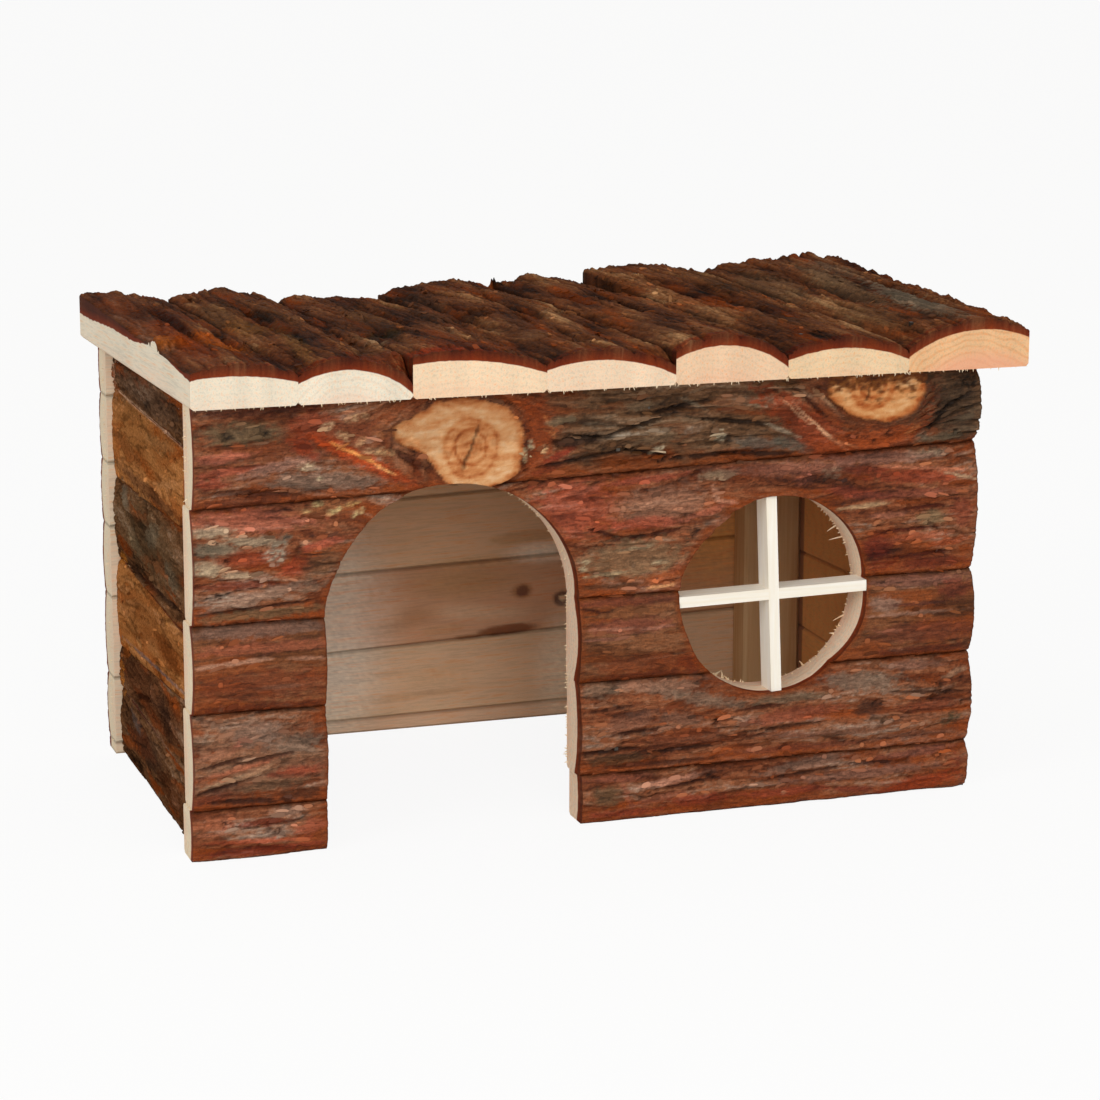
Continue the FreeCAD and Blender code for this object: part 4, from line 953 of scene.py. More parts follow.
def board_mesh(name, side, number, slab, start, end):
    """Closed mesh of a board from start to end (mm along it)."""
    (along_step, across_step), strips = MESH_STEPS[side], INNER_STRIPS[side]
    stations = np.linspace(start, end, max(2, int(round((end - start) / along_step))) + 1)
    ribs = max(4, int(round(max(slab.profiles[0]) / across_step)))
    rows = len(stations)
    s = np.repeat(stations, ribs + 1)
    t = slab.width(s) * np.tile(np.linspace(0, 1, ribs + 1), rows)
    height, _, _ = bark_of(side, number, slab, s, t)
    outer = slab.place(s, t, np.maximum(slab.thickness(s, t) + height, THINNEST))
    s = np.repeat(stations, strips + 1)
    width = slab.width(s)
    share = np.tile(np.concatenate([[0], np.linspace(0, 1, strips - 1), [1]]), rows)
    strip = np.tile(np.arange(strips + 1), rows)
    edge = (strip == 0) | (strip == strips)
    t = np.where(edge, share * width, EASED_WIDE + share * (width - 2 * EASED_WIDE))
    inner = slab.place(s, t, np.where(edge, EASED_DEEP, 0.0))

    bark = np.arange(len(outer)).reshape(rows, ribs + 1)
    flat = len(outer) + np.arange(len(inner)).reshape(rows, strips + 1)
    # bark runs down between the roof boards; the roof's two outer sides are sawn
    low_side = BARK if side == "roof" and number > 1 else SAWN
    high_side = BARK if side == "roof" and number < len(ROOF_BOARDS) else SAWN
    flip = np.cross(slab.along, slab.across).dot(slab.out) < 0
    faces, materials = [], []
    for block, material in (
            (quads(bark[:-1, :-1], bark[1:, :-1], bark[1:, 1:], bark[:-1, 1:]), BARK),
            (quads(flat[:-1, :-1], flat[:-1, 1:], flat[1:, 1:], flat[1:, :-1]), SAWN),
            (quads(bark[:-1, 0], flat[:-1, 0], flat[1:, 0], bark[1:, 0]), low_side),
            (quads(bark[:-1, -1], bark[1:, -1], flat[1:, -1], flat[:-1, -1]), high_side)):
        faces += (block[:, ::-1] if flip else block).tolist()
        materials += [material] * len(block)
    for row, turned in ((0, flip), (-1, not flip)):
        faces += end_cap(bark[row].tolist(), flat[row].tolist(), turned)
    materials += [SAWN] * (len(faces) - len(materials))
    mesh = bpy.data.meshes.new(name)
    mesh.from_pydata((np.vstack([outer, inner]) * MM).tolist(), [], faces)
    mesh.polygons.foreach_set("material_index", materials)
    mesh.update()
    return mesh


# %% [markdown]
# ## What each vertex keeps
# Each vertex keeps what the materials need: its bark colour, its wood colour, its place in the log,
# so that growth rings run true through any cut, and how far from the log's heart the wood ends and
# the bark begins. It is worked out after the openings are sawn, so the cut faces have it too.

# %% Dressing a board
BARK_DEPTH = {"front": 3.0, "back": 2.0, "left": 2.0, "right": 2.0, "roof": 3.9}   # mm, where cut
GABLE_WOOD = ((-80, 8.8), (-57, 10.7), (-43, 12.9), (-33, 14.9), (-23, 12.2), (-4, 10.4),
              (29, 10.3), (64, 8.7), (80, 8.6))   # y, height of the sawn wood on the roof's left side
LOG_APART = 61.0   # mm along the noise from one board to the next, so no two boards look alike


def read_places(mesh):
    """The places of a mesh's vertices in mm, one row for each."""
    flat = np.empty(len(mesh.vertices) * 3, dtype=np.float32)
    mesh.vertices.foreach_get("co", flat)
    return flat.reshape(-1, 3).astype(float) / MM


def put(mesh, name, kind, field, values):
    """A named attribute with one value per vertex."""
    layer = mesh.attributes.new(name, kind, "POINT")
    layer.data.foreach_set(field, np.ascontiguousarray(values, dtype=np.float32).ravel())


def wood_colour(side, number, x, y, z, s, t, width, code):
    """Colour of the sawn wood at places of one board."""
    colour = np.tile(linear(code)[:3], (len(s), 1))
    colour *= (1 + 0.07 * rough(s / 60, t / 9, SEEDS[side] + number, 3))[:, None]
    if side == "back":   # marks on the planks, and paler ends
        lay_marks("inside", x, z, 0 * s, colour)
        pale = step(0, 3, np.abs(x - (WALL_LEFT + WALL_RIGHT) / 2) - 128)
        colour = painted(colour, np.array(linear("EEDFC4")[:3]), pale)
    if side in ("back", "right"):   # darker at the joints
        colour *= (1 - 0.45 * (1 - step(0.1, 0.7, np.minimum(t, width - t))))[:, None]
    if side == "right":   # the gap between the back post and the wall
        # painted shade: the inner face is darkened from y 42.8 back, where the back post stands against
        # it
        colour *= (1 - 0.85 * step(42.0, 42.8, y))[:, None]
    return colour


def dress(mesh, side, number, slab, wood):
    """Gives each vertex its bark and wood colours, its place in the log and where the wood ends."""
    places = read_places(mesh)
    x, y, z = places.T
    s, t, d = slab.local(places)
    s = np.clip(s, 0, slab.length)
    width, (at, out, radius) = slab.width(s), slab.log(s)
    _, colour, bare = bark_of(side, number, slab, s, np.clip(t, 0, width))
    put(mesh, "tint", "FLOAT_COLOR", "color", np.column_stack([colour, bare]))
    put(mesh, "log", "FLOAT_VECTOR", "vector",
        np.column_stack([s + LOG_APART * number, t - at, d - out]))
    rings, code = wood
    colour, depth = wood_colour(side, number, x, y, z, s, t, width, code), BARK_DEPTH[side]
    if side == "front":   # sawn edges of the openings: thicker bark, warmer wood
        sawn = 1 - step(1.0, 4.0, past_openings(x, z))
        depth = depth + np.where(x > 0, 0.4, 2.2) * sawn
        # the paler wood is partly painted light on the jambs, which lie in shade inside the openings
        colour = painted(colour, np.array(linear("FEE6CB")[:3]), sawn)
    ends = radius - depth * (1 - 0.35 * np.abs(2 * t / width - 1) ** 2)
    if side == "roof" and number == 1:
        gable = np.interp(y, *zip(*GABLE_WOOD)) + 0.25 * soft(s / 4, s * 0, 63)
        ends = np.where(t < 0.4, np.hypot(t - at, gable - out), ends)
    put(mesh, "wood", "FLOAT_COLOR", "color", np.column_stack([colour, np.full(len(s), rings)]))
    put(mesh, "wood_radius", "FLOAT", "value", ends)
    mesh.polygons.foreach_set("use_smooth", [p.material_index == BARK for p in mesh.polygons])


# %% [markdown]
# ## One function for nodes
# Materials and Geometry Nodes are both trees of nodes. This function adds one node to either kind
# of tree, sets its options, and fills its inputs: a value is typed in, another node's output is
# linked. Where a node itself is given, its first output in use is meant. Most inputs go by their
# names. A Mix node of colours has its two colours at the numbers 6 and 7.

# %% Node helper
def add(tree, kind, inputs=None, **options):
    """One new node. inputs maps an input's name or number to a value, a node or an output."""
    node = tree.nodes.new(kind)
    for option, value in options.items():
        setattr(node, option, value)
    for key, value in (inputs or {}).items():
        if isinstance(value, bpy.types.Node):
            value = next(output for output in value.outputs if output.enabled)
        if isinstance(value, bpy.types.NodeSocket):
            tree.links.new(value, node.inputs[key])
        else:
            node.inputs[key].default_value = value
    return node


def new_material(name):
    """A material and its tree of nodes, which is still empty."""
    material = bpy.data.materials.new(name)
    material.use_nodes = True
    material.node_tree.nodes.clear()
    return material, material.node_tree


def new_object(name, data):
    """An object in the scene that shows a mesh, a lamp or a camera."""
    obj = bpy.data.objects.new(name, data)
    bpy.context.collection.objects.link(obj)
    return obj


# %% [markdown]
# ## Bark under clear lacquer
# Pet houses of this kind are dipped in a clear, saliva-proof lacquer, so the bark looks a little
# wet, with a soft shine on the flakes. The colour comes from the boards' own "tint", which also
# holds the dark of its cracks as painted shade. Fine streaks less than a millimetre wide,
# stretched along the log, make it crisp close up, and the same streaks drive a small bump. Where
# "tint" says that a place is bare sawn wood, the streaks leave the colour as it is.

# %% Bark materials
def bark_material(name, roughness, coat, contrast, shine):
    """Bark that takes its colour from the board, streaked and grained by two noises."""
    material, tree = new_material(name)
    tint = add(tree, "ShaderNodeAttribute", attribute_name="tint")
    log = add(tree, "ShaderNodeAttribute", attribute_name="log").outputs["Vector"]
    stretched = add(tree, "ShaderNodeVectorMath", {0: log, 1: (0.28, 1.0, 1.0)},
                    operation="MULTIPLY")
    streaks = add(tree, "ShaderNodeTexNoise", {"Vector": stretched, "Scale": 1.5, "Detail": 6.0,
                                               "Roughness": 0.68})
    grit = add(tree, "ShaderNodeTexNoise", {"Vector": log, "Scale": 1.9, "Detail": 3.0,
                                            "Roughness": 0.7})
    shade = add(tree, "ShaderNodeMapRange", {"Value": streaks, "From Min": 0.32, "From Max": 0.68,
                                             "To Min": 1.0 - contrast, "To Max": 1.0 + contrast})
    grain = add(tree, "ShaderNodeMapRange", {"Value": grit, "From Min": 0.3, "From Max": 0.7,
                                             "To Min": 0.74, "To Max": 1.26})
    both = add(tree, "ShaderNodeMath", {0: shade, 1: grain}, operation="MULTIPLY")
    colour = add(tree, "ShaderNodeVectorMath", {0: tint, "Scale": both}, operation="SCALE")
    calm = add(tree, "ShaderNodeMix", {"Factor": tint.outputs["Alpha"], 6: colour, 7: tint},
               data_type="RGBA")
    dull = add(tree, "ShaderNodeMapRange", {"Value": streaks, "From Min": 0.3, "From Max": 0.7,
                                            "To Min": roughness - 0.12,
                                            "To Max": roughness + 0.16})
    relief = add(tree, "ShaderNodeMath", {0: streaks, 1: grit}, operation="ADD")
    bump = add(tree, "ShaderNodeBump", {"Height": relief, "Distance": 0.0006, "Strength": 0.75})
    skin = add(tree, "ShaderNodeBsdfPrincipled", {
        "Base Color": calm, "Roughness": dull, "Normal": bump, "Specular IOR Level": shine,
        "Coat Weight": coat, "Coat Roughness": 0.25})
    add(tree, "ShaderNodeOutputMaterial", {"Surface": skin})
    return material


wall_bark = bark_material("Pine bark under clear lacquer", 0.48, 0.04, 0.40, 0.14)
roof_bark = bark_material("Old pine bark, dark and dry", 0.66, 0.0, 0.42, 0.05)
side_bark = bark_material("Pine bark, hardly lacquered", 0.75, 0.0, 0.40, 0.0)
print("bark materials:", wall_bark.name, "/", side_bark.name, "/", roof_bark.name)


# %% [markdown]
# ## Rough-sawn pine
# Every cut shows the inside of the log. Its colour is pale cream to peach, different in each
# board, with growth rings about 2 mm apart that are faint in most boards, and fine specks where
# the saw tore the fibres. Round it runs a red-brown band of bark with a smooth inner edge. All of
# it follows the distance from the log's heart, which each vertex knows, so one material gives arcs
# on a board's end, long grain on its inner face and slanting lines in the doorway. The surface is
# slightly furry, so it is matt.

# %% Sawn pine
LOG_RING = 2.3   # mm from one growth ring to the next


def sawn_material(name):
    """Sawn wood with growth rings, torn fibres, a pinker heart and a band of bark round it."""
    material, tree = new_material(name)
    log = add(tree, "ShaderNodeAttribute", attribute_name="log").outputs["Vector"]
    radius = add(tree, "ShaderNodeAttribute", attribute_name="wood_radius").outputs["Fac"]
    base = add(tree, "ShaderNodeAttribute", attribute_name="wood")
    tint = add(tree, "ShaderNodeAttribute", attribute_name="tint")
    round_log = add(tree, "ShaderNodeVectorMath", {0: log, 1: (0.0, 1.0, 1.0)},
                    operation="MULTIPLY")
    out = add(tree, "ShaderNodeVectorMath", {0: round_log}, operation="LENGTH")
    # growth rings that wander a little and fade in and out
    slow = add(tree, "ShaderNodeVectorMath", {0: log, 1: (0.012, 0.06, 0.06)},
               operation="MULTIPLY")
    wander = add(tree, "ShaderNodeTexNoise", {"Vector": slow, "Scale": 1.0, "Detail": 2.0})
    bent = add(tree, "ShaderNodeMath", {0: wander, 1: 9.0, 2: out}, operation="MULTIPLY_ADD")
    turn = add(tree, "ShaderNodeMath", {0: bent, 1: 2 * math.pi / LOG_RING}, operation="MULTIPLY")
    wave = add(tree, "ShaderNodeMath", {0: turn}, operation="SINE")
    late = add(tree, "ShaderNodeMapRange", {"Value": wave, "From Min": 0.1, "From Max": 1.0,
                                            "To Min": 0.0, "To Max": 1.0},
               interpolation_type="SMOOTHSTEP")
    blotch = add(tree, "ShaderNodeTexNoise", {"Vector": slow, "Scale": 2.6, "Detail": 3.0})
    some = add(tree, "ShaderNodeMath", {0: late, 1: blotch}, operation="MULTIPLY")
    amount = add(tree, "ShaderNodeMath", {0: some, 1: base.outputs["Alpha"]},
                 operation="MULTIPLY")
    late_wood = add(tree, "ShaderNodeVectorMath", {0: base, 1: (0.80, 0.50, 0.30)},
                    operation="MULTIPLY")
    rings = add(tree, "ShaderNodeMix", {"Factor": amount, 6: base, 7: late_wood},
                data_type="RGBA")
    # torn fibres: long streaks on the faces, specks on the ends
    stretched = add(tree, "ShaderNodeVectorMath", {0: log, 1: (0.06, 1.0, 1.0)},
                    operation="MULTIPLY")
    fibres = add(tree, "ShaderNodeTexNoise", {"Vector": stretched, "Scale": 1.1, "Detail": 5.0,
                                              "Roughness": 0.72})
    fleck = add(tree, "ShaderNodeMapRange", {"Value": fibres, "From Min": 0.38, "From Max": 0.60,
                                             "To Min": 0.80, "To Max": 1.05})
    speck = add(tree, "ShaderNodeMapRange", {"Value": fibres, "From Min": 0.52, "From Max": 0.64,
                                             "To Min": 0.0, "To Max": 0.62})
    specks = add(tree, "ShaderNodeMix", {"Factor": speck, 6: rings, 7: late_wood},
                 data_type="RGBA")
    wood = add(tree, "ShaderNodeVectorMath", {0: specks, "Scale": fleck}, operation="SCALE")
    # the heart of the log is pinker than the outer wood
    depth = add(tree, "ShaderNodeMath", {0: out, 1: radius}, operation="SUBTRACT")
    heart_share = add(tree, "ShaderNodeMapRange", {"Value": depth, "From Min": -5.0,
                                                   "From Max": -10.0})
    pinker = add(tree, "ShaderNodeMath", {0: heart_share, 1: base.outputs["Alpha"]},
                 operation="MULTIPLY")
    heart = add(tree, "ShaderNodeMix", {"Factor": pinker, 6: wood, 7: linear("EFA98A")},
                data_type="RGBA")
    # the band of bark round the rim
    uneven = add(tree, "ShaderNodeTexNoise", {"Vector": log, "Scale": 0.35, "Detail": 2.0})
    ragged = add(tree, "ShaderNodeMath", {0: uneven, 1: 0.5, 2: depth}, operation="MULTIPLY_ADD")
    is_bark = add(tree, "ShaderNodeMapRange", {"Value": ragged, "From Min": 0.15,
                                               "From Max": 0.40})
    layer = add(tree, "ShaderNodeMapRange", {"Value": ragged, "From Min": 0.2, "From Max": 3.2})
    inner_bark = add(tree, "ShaderNodeMix", {"Factor": layer, 6: linear("8C3010"),
                                             7: linear("4A1A0C")}, data_type="RGBA")
    rim = add(tree, "ShaderNodeMix", {"Factor": 0.35, 6: inner_bark, 7: tint}, data_type="RGBA")
    torn_rim = add(tree, "ShaderNodeVectorMath", {0: rim, "Scale": fleck}, operation="SCALE")
    whole = add(tree, "ShaderNodeMix", {"Factor": is_bark, 6: heart, 7: torn_rim},
                data_type="RGBA")
    bump = add(tree, "ShaderNodeBump", {"Height": fibres, "Distance": 0.0004, "Strength": 0.5})
    shader = add(tree, "ShaderNodeBsdfPrincipled", {
        "Base Color": whole, "Roughness": 0.85, "Normal": bump, "Specular IOR Level": 0.15})
    add(tree, "ShaderNodeOutputMaterial", {"Surface": shader})
    return material


sawn_pine = sawn_material("Rough-sawn pine")
print("sawn wood:", sawn_pine.name)


# %% [markdown]
# ## Cutting the doorway and the window
# The doorway is a straight opening with a round head, and the window is a round hole. The house's
# boards are nailed up first and the openings sawn after, so both cuts run through several boards.
# A Boolean modifier does the same: one cutter, taken out of every board it touches. The faces that
# it leaves get the sawn pine, because the cutter carries that material in its second slot.

# %% Cutter
CUTTER_DEPTHS = (-110.0, -40.0)   # y of the cutter's two ends, in front of the wall and behind it
CUTTER_FOOT = -20.0               # z, below the house


def window_outline():
    """The round window: its bark overhangs at the upper left, where the saw left it ragged."""
    angles = np.linspace(0.0, 2 * math.pi, 180, endpoint=False)
    overhang = np.exp(-((np.degrees(angles) - 132) / 24) ** 2)
    wobble = (0.16 * soft(angles * 3.1, angles * 0 + 2.5, 61)
              - overhang * (1.3 + 0.7 * rough(angles * 9, angles * 0, 62, 3)))
    radii = WINDOW_DIAMETER / 2 + wobble
    return [(WINDOW_X + radius * math.cos(angle), WINDOW_Z + radius * math.sin(angle))
            for angle, radius in zip(angles, radii)]


def door_outline():
    """The doorway: a half circle over two upright sides that run down past the floor."""
    radius = DOOR_WIDTH / 2
    head = [(DOOR_X + radius * math.cos(angle), DOOR_SPRING + radius * math.sin(angle))
            for angle in np.linspace(0.0, math.pi, 121)]
    return head + [(DOOR_LEFT, CUTTER_FOOT), (DOOR_RIGHT, CUTTER_FOOT)]


def opening_cutter():
    """Both openings as one mesh of two bars that pass through the front wall."""
    places, faces = [], []
    for outline in (window_outline(), door_outline()):
        first, n = len(places), len(outline)
        for y in CUTTER_DEPTHS:
            places += [(x * MM, y * MM, z * MM) for x, z in outline]
        faces.append([first + i for i in range(n)])
        faces.append([first + n + i for i in reversed(range(n))])
        faces += [[first + i, first + n + i, first + n + (i + 1) % n, first + (i + 1) % n]
                  for i in range(n)]
    mesh = bpy.data.meshes.new("opening_cutter")
    mesh.from_pydata(places, [], faces)
    mesh.polygons.foreach_set("material_index", [SAWN] * len(faces))
    for material in (wall_bark, sawn_pine):
        mesh.materials.append(material)
    mesh.update()
    return new_object("opening_cutter", mesh)


cutter = opening_cutter()
print("faces of the cutter:", len(cutter.data.polygons))


# %% [markdown]
# ## Putting the boards in place
# A board gets its mesh, its two materials and, where an opening passes through it, the cut. Then it
# takes the place of its solid. The house has no moving parts, so every board rides on the root.

# %% Board objects
def plain_mesh(obj):
    """The object's mesh as its modifiers leave it; the modifiers go."""
    bpy.context.view_layer.update()
    result = obj.evaluated_get(bpy.context.evaluated_depsgraph_get())
    old, obj.data = obj.data, bpy.data.meshes.new_from_object(result)
    obj.modifiers.clear()
    bpy.data.meshes.remove(old)


def make_board(node, side, number, start, end, wood, sawn=False):
    """A dressed board in place of its solid, from start to end in mm along it."""
    name, slab = "dressed_" + node, walls[side][number - 1]
    mesh = board_mesh(name, side, number, slab, start, end)
    mesh.materials.append({"roof": roof_bark, "front": wall_bark}.get(side, side_bark))
    mesh.materials.append(sawn_pine)
    board = new_object(name, mesh)
    if sawn:
        cut = board.modifiers.new("sawn opening", "BOOLEAN")
        cut.operation, cut.solver, cut.object = "DIFFERENCE", "MANIFOLD", cutter
        plain_mesh(board)
    dress(board.data, side, number, slab, wood)
    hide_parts(node)
    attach(board, "root")
    print(node, len(board.data.polygons), "faces")


# %% [markdown]
# ## The front wall
# Only this wall has openings, and a course that they cut is split into left, middle and right
# pieces. A piece at the straight side of the doorway just ends there. A piece at a round edge is
# sawn by the cutter.

# %% Front wall
FRONT_WOOD = (0.30, "F4E4C8")   # how clear the growth rings are, and the colour of the wood
FRONT_PIECES = (   # node, course, from x, to x, sawn round; the left ends step out downwards
    ("front_slab_1", 1, WALL_LEFT + 1.8, WALL_RIGHT, True),
    ("front_slab_2_left", 2, WALL_LEFT + 1.0, -60.0, True),
    ("front_slab_2_right", 2, -50.0, WALL_RIGHT, True),
    ("front_slab_3_left", 3, WALL_LEFT + 0.3, DOOR_LEFT, False),
    ("front_slab_3_middle", 3, DOOR_RIGHT - 0.3, 50.0, True),
    ("front_slab_3_right", 3, 60.0, WALL_RIGHT, True),
    ("front_slab_4_left", 4, WALL_LEFT - 0.3, DOOR_LEFT, False),
    ("front_slab_4_right", 4, DOOR_RIGHT + 0.3, WALL_RIGHT, True),
    ("front_slab_5_left", 5, WALL_LEFT - 1.0, DOOR_LEFT, False),
    ("front_slab_5_right", 5, DOOR_RIGHT + 1.2, WALL_RIGHT, False),
)
for node, number, low, high, sawn in FRONT_PIECES:
    make_board(node, "front", number, low - WALL_LEFT, high - WALL_LEFT, FRONT_WOOD, sawn)


# %% [markdown]
# ## The other walls and the roof
# These boards are whole. Boards from different logs differ in colour, which shows most on the
# inner face of the back wall and on the sawn front ends of the roof, so there each has its own.

# %% Other walls and the roof
WOODS = {
    "back": [(0.16, code) for code in ("DDB084", "E6C096", "EAC49C", "E0BA92", "CEA07C", "E4C29C",
                                       "E6C4A2")],
    "left": [(0.35, "E2BC8E")] * len(walls["left"]),
    # the right wall's saturated gold is painted warm bounce light on its inner face
    "right": [(0.35, "FABC64")] * len(walls["right"]),
    "roof": [(0.12, "F2E6D0"), (0.26, "F4E9D4"), (0.18, "FBE0BE"), (0.14, "F8DEC0"),
             (0.22, "F5D3B0"), (0.24, "F4D6AE"), (0.66, "F3C494")],
}
for side, woods in WOODS.items():
    for number, (slab, wood) in enumerate(zip(walls[side], woods), start=1):
        make_board(f"{side}_slab_{number}", side, number, 0, slab.length, wood)
bpy.data.objects.remove(cutter)


# %% [markdown]
# ## Loose flakes of bark
# The outside of pine bark lets go in thin flakes, a few millimetres long, that stand a little off
# the surface. Geometry Nodes scatters them: points spread over the bark, one small irregular plate
# on each, turned so that it lies along the board, tilted a few degrees, and coloured like the bark
# under it.

# %% Loose flakes
def node_group(name, sockets):
    """An empty Geometry Nodes tree with a geometry socket and further named inputs."""
    tree = bpy.data.node_groups.new(name, "GeometryNodeTree")
    tree.interface.new_socket(name="Geometry", in_out="INPUT", socket_type="NodeSocketGeometry")
    tree.interface.new_socket(name="Geometry", in_out="OUTPUT", socket_type="NodeSocketGeometry")
    for label, kind in sockets:
        tree.interface.new_socket(name=label, in_out="INPUT", socket_type="NodeSocket" + kind)
    return tree, add(tree, "NodeGroupInput").outputs


def grow(obj, tree, values):
    """Runs a Geometry Nodes tree on an object and keeps the result as its plain mesh."""
    modifier = obj.modifiers.new(tree.name, "NODES")
    modifier.node_group = tree
    for socket in tree.interface.items_tree:
        if socket.in_out == "INPUT" and socket.name in values:
            modifier[socket.identifier] = values[socket.name]
    plain_mesh(obj)
    if obj.data.materials[0] is None:
        obj.data.materials.pop(index=0)


def finished(tree, given, placed):
    """Ends a tree: the placed pieces become plain mesh and get the chosen finish."""
    real = add(tree, "GeometryNodeRealizeInstances", {0: placed})
    done = add(tree, "GeometryNodeSetMaterial", {"Geometry": real, "Material": given["Finish"]})
    add(tree, "NodeGroupOutput", {0: done})
    return tree


# %% Flakes as a tree of nodes
def flake_tree():
    """Small torn plates on random points of a mesh, dyed by the bark under them."""
    tree, given = node_group("Loose bark flakes", (("Flakes per square metre", "Float"),
                                                   ("Along", "Vector"), ("Seed", "Int"),
                                                   ("Finish", "Material")))
    seed = given["Seed"]
    spread = add(tree, "GeometryNodeDistributePointsOnFaces",
                 {"Mesh": given["Geometry"], "Density": given["Flakes per square metre"],
                  "Seed": seed}, distribute_method="RANDOM")
    tint = add(tree, "GeometryNodeInputNamedAttribute", {"Name": "tint"}, data_type="FLOAT_COLOR")
    shade = add(tree, "FunctionNodeRandomValue", {2: 0.5, 3: 1.8, "Seed": seed},
                data_type="FLOAT")
    own = add(tree, "ShaderNodeVectorMath", {0: tint, "Scale": shade}, operation="SCALE")
    dyed = add(tree, "GeometryNodeStoreNamedAttribute",
               {"Geometry": spread, "Name": "tint", "Value": own},
               data_type="FLOAT_COLOR", domain="POINT")
    # a plate of seven corners, 2 mm wide before it is sized, its corners shifted by chance
    plate = add(tree, "GeometryNodeMeshCylinder", {"Vertices": 7, "Radius": 0.001,
                                                   "Depth": 0.0005})
    spot = add(tree, "GeometryNodeInputPosition")
    lump = add(tree, "ShaderNodeTexNoise", {"Vector": spot, "Scale": 900.0})
    shift = add(tree, "ShaderNodeVectorMath", {0: lump.outputs["Color"], 1: (-0.5, -0.5, -0.5)},
                operation="ADD")
    small = add(tree, "ShaderNodeVectorMath", {0: shift, "Scale": 0.0011}, operation="SCALE")
    torn = add(tree, "GeometryNodeSetPosition", {"Geometry": plate, "Offset": small})
    # flat on the bark, then along the board, then tilted by chance
    flat = add(tree, "FunctionNodeAlignRotationToVector", {"Vector": spread.outputs["Normal"]},
               axis="Z")
    along = add(tree, "FunctionNodeAlignRotationToVector",
                {"Rotation": flat, "Vector": given["Along"]}, axis="X", pivot_axis="Z")
    tilt = add(tree, "FunctionNodeRandomValue", {0: (-0.16, -0.10, -0.30), 1: (0.16, 0.10, 0.30),
                                                 "Seed": seed}, data_type="FLOAT_VECTOR")
    turned = add(tree, "FunctionNodeRotateRotation", {"Rotation": along, "Rotate By": tilt},
                 rotation_space="LOCAL")
    size = add(tree, "FunctionNodeRandomValue", {0: (0.6, 0.30, 0.4), 1: (2.8, 0.95, 1.1),
                                                 "Seed": seed}, data_type="FLOAT_VECTOR")
    placed = add(tree, "GeometryNodeInstanceOnPoints",
                 {"Points": dyed, "Instance": torn, "Rotation": turned, "Scale": size})
    return finished(tree, given, placed)


# %% Flakes on the boards
def room_for_flakes(side, x, y, z, bare):
    """Where flakes may grow: away from the ends, the openings, the floor and the sawn knots."""
    if side == "front":
        return ((past_openings(x, z) > 5) & (x > WALL_LEFT + 6) & (x < WALL_RIGHT - 5) & (z > 4)
                & (bare < 0.1))
    if side == "roof":
        return (abs(y) < 73) & (abs(x) < 134)
    return abs(y) < 52


def bark_surface(name, side):
    """The bark faces of a side's boards as one mesh, with their colours and places in the log."""
    places, faces, tints, logs, first = [], [], [], [], 0
    for board in bpy.data.objects:
        if not board.name.startswith(f"dressed_{side}_slab"):
            continue
        mesh = board.data
        count = len(mesh.vertices)
        tint, log = np.empty(count * 4, np.float32), np.empty(count * 3, np.float32)
        mesh.attributes["tint"].data.foreach_get("color", tint)
        mesh.attributes["log"].data.foreach_get("vector", log)
        places.append(read_places(mesh) * MM)
        tints.append(tint)
        logs.append(log)
        room = room_for_flakes(side, *(places[-1].T / MM), tint[3::4])
        faces += [[first + v for v in face.vertices] for face in mesh.polygons
                  if face.material_index == BARK and len(face.vertices) == 4
                  and room[face.vertices[0]]]
        first += count
    mesh = bpy.data.meshes.new(name)
    mesh.from_pydata(np.vstack(places).tolist(), [], faces)
    put(mesh, "tint", "FLOAT_COLOR", "color", np.concatenate(tints))
    put(mesh, "log", "FLOAT_VECTOR", "vector", np.concatenate(logs))
    return new_object(name, mesh)


flakes = flake_tree()
for side, per_area, along, seed, finish in (("front", 30000.0, (1, 0, 0), 3, wall_bark),
                                            ("left", 14000.0, (0, 1, 0), 5, side_bark),
                                            ("roof", 16000.0, (0, 1, 0), 8, roof_bark)):
    loose = bark_surface("loose_flakes_" + side, side)
    grow(loose, flakes, {"Flakes per square metre": per_area, "Along": along, "Seed": seed,
                         "Finish": finish})
    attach(loose, "root")
    print(loose.name, len(loose.data.polygons), "faces")


# %% [markdown]
# ## Planed wood and bare fibres
# The posts and the laths of the cross are planed: smooth, with fine straight grain. Torn fibres are
# bare wood of the same kind. One noise drawn out along the grain, multiplied by a slower one, does
# for all of them.

# %% Planed and torn wood
def planed_material(name, pale, dark, along):
    """Planed softwood whose grain runs along one axis of the object, given as X, Y or Z."""
    material, tree = new_material(name)
    place = add(tree, "ShaderNodeTexCoord").outputs["Object"]
    stretch = [40.0 if axis == along else 900.0 for axis in "XYZ"]   # waves per metre
    fine = add(tree, "ShaderNodeVectorMath", {0: place, 1: stretch}, operation="MULTIPLY")
    fibres = add(tree, "ShaderNodeTexNoise", {"Vector": fine, "Scale": 1.0, "Detail": 4.0})
    slow = add(tree, "ShaderNodeVectorMath", {0: place, 1: [v * 0.16 for v in stretch]},
               operation="MULTIPLY")
    bands = add(tree, "ShaderNodeTexNoise", {"Vector": slow, "Scale": 1.0, "Detail": 2.0})
    amount = add(tree, "ShaderNodeMath", {0: fibres, 1: bands}, operation="MULTIPLY")
    share = add(tree, "ShaderNodeMapRange", {"Value": amount, "From Min": 0.12,
                                             "From Max": 0.42})
    colour = add(tree, "ShaderNodeMix", {"Factor": share, 6: linear(pale), 7: linear(dark)},
                 data_type="RGBA")
    bump = add(tree, "ShaderNodeBump", {"Height": fibres, "Distance": 0.0002, "Strength": 0.4})
    shader = add(tree, "ShaderNodeBsdfPrincipled", {
        "Base Color": colour, "Roughness": 0.62, "Normal": bump, "Specular IOR Level": 0.3})
    add(tree, "ShaderNodeOutputMaterial", {"Surface": shader})
    return material


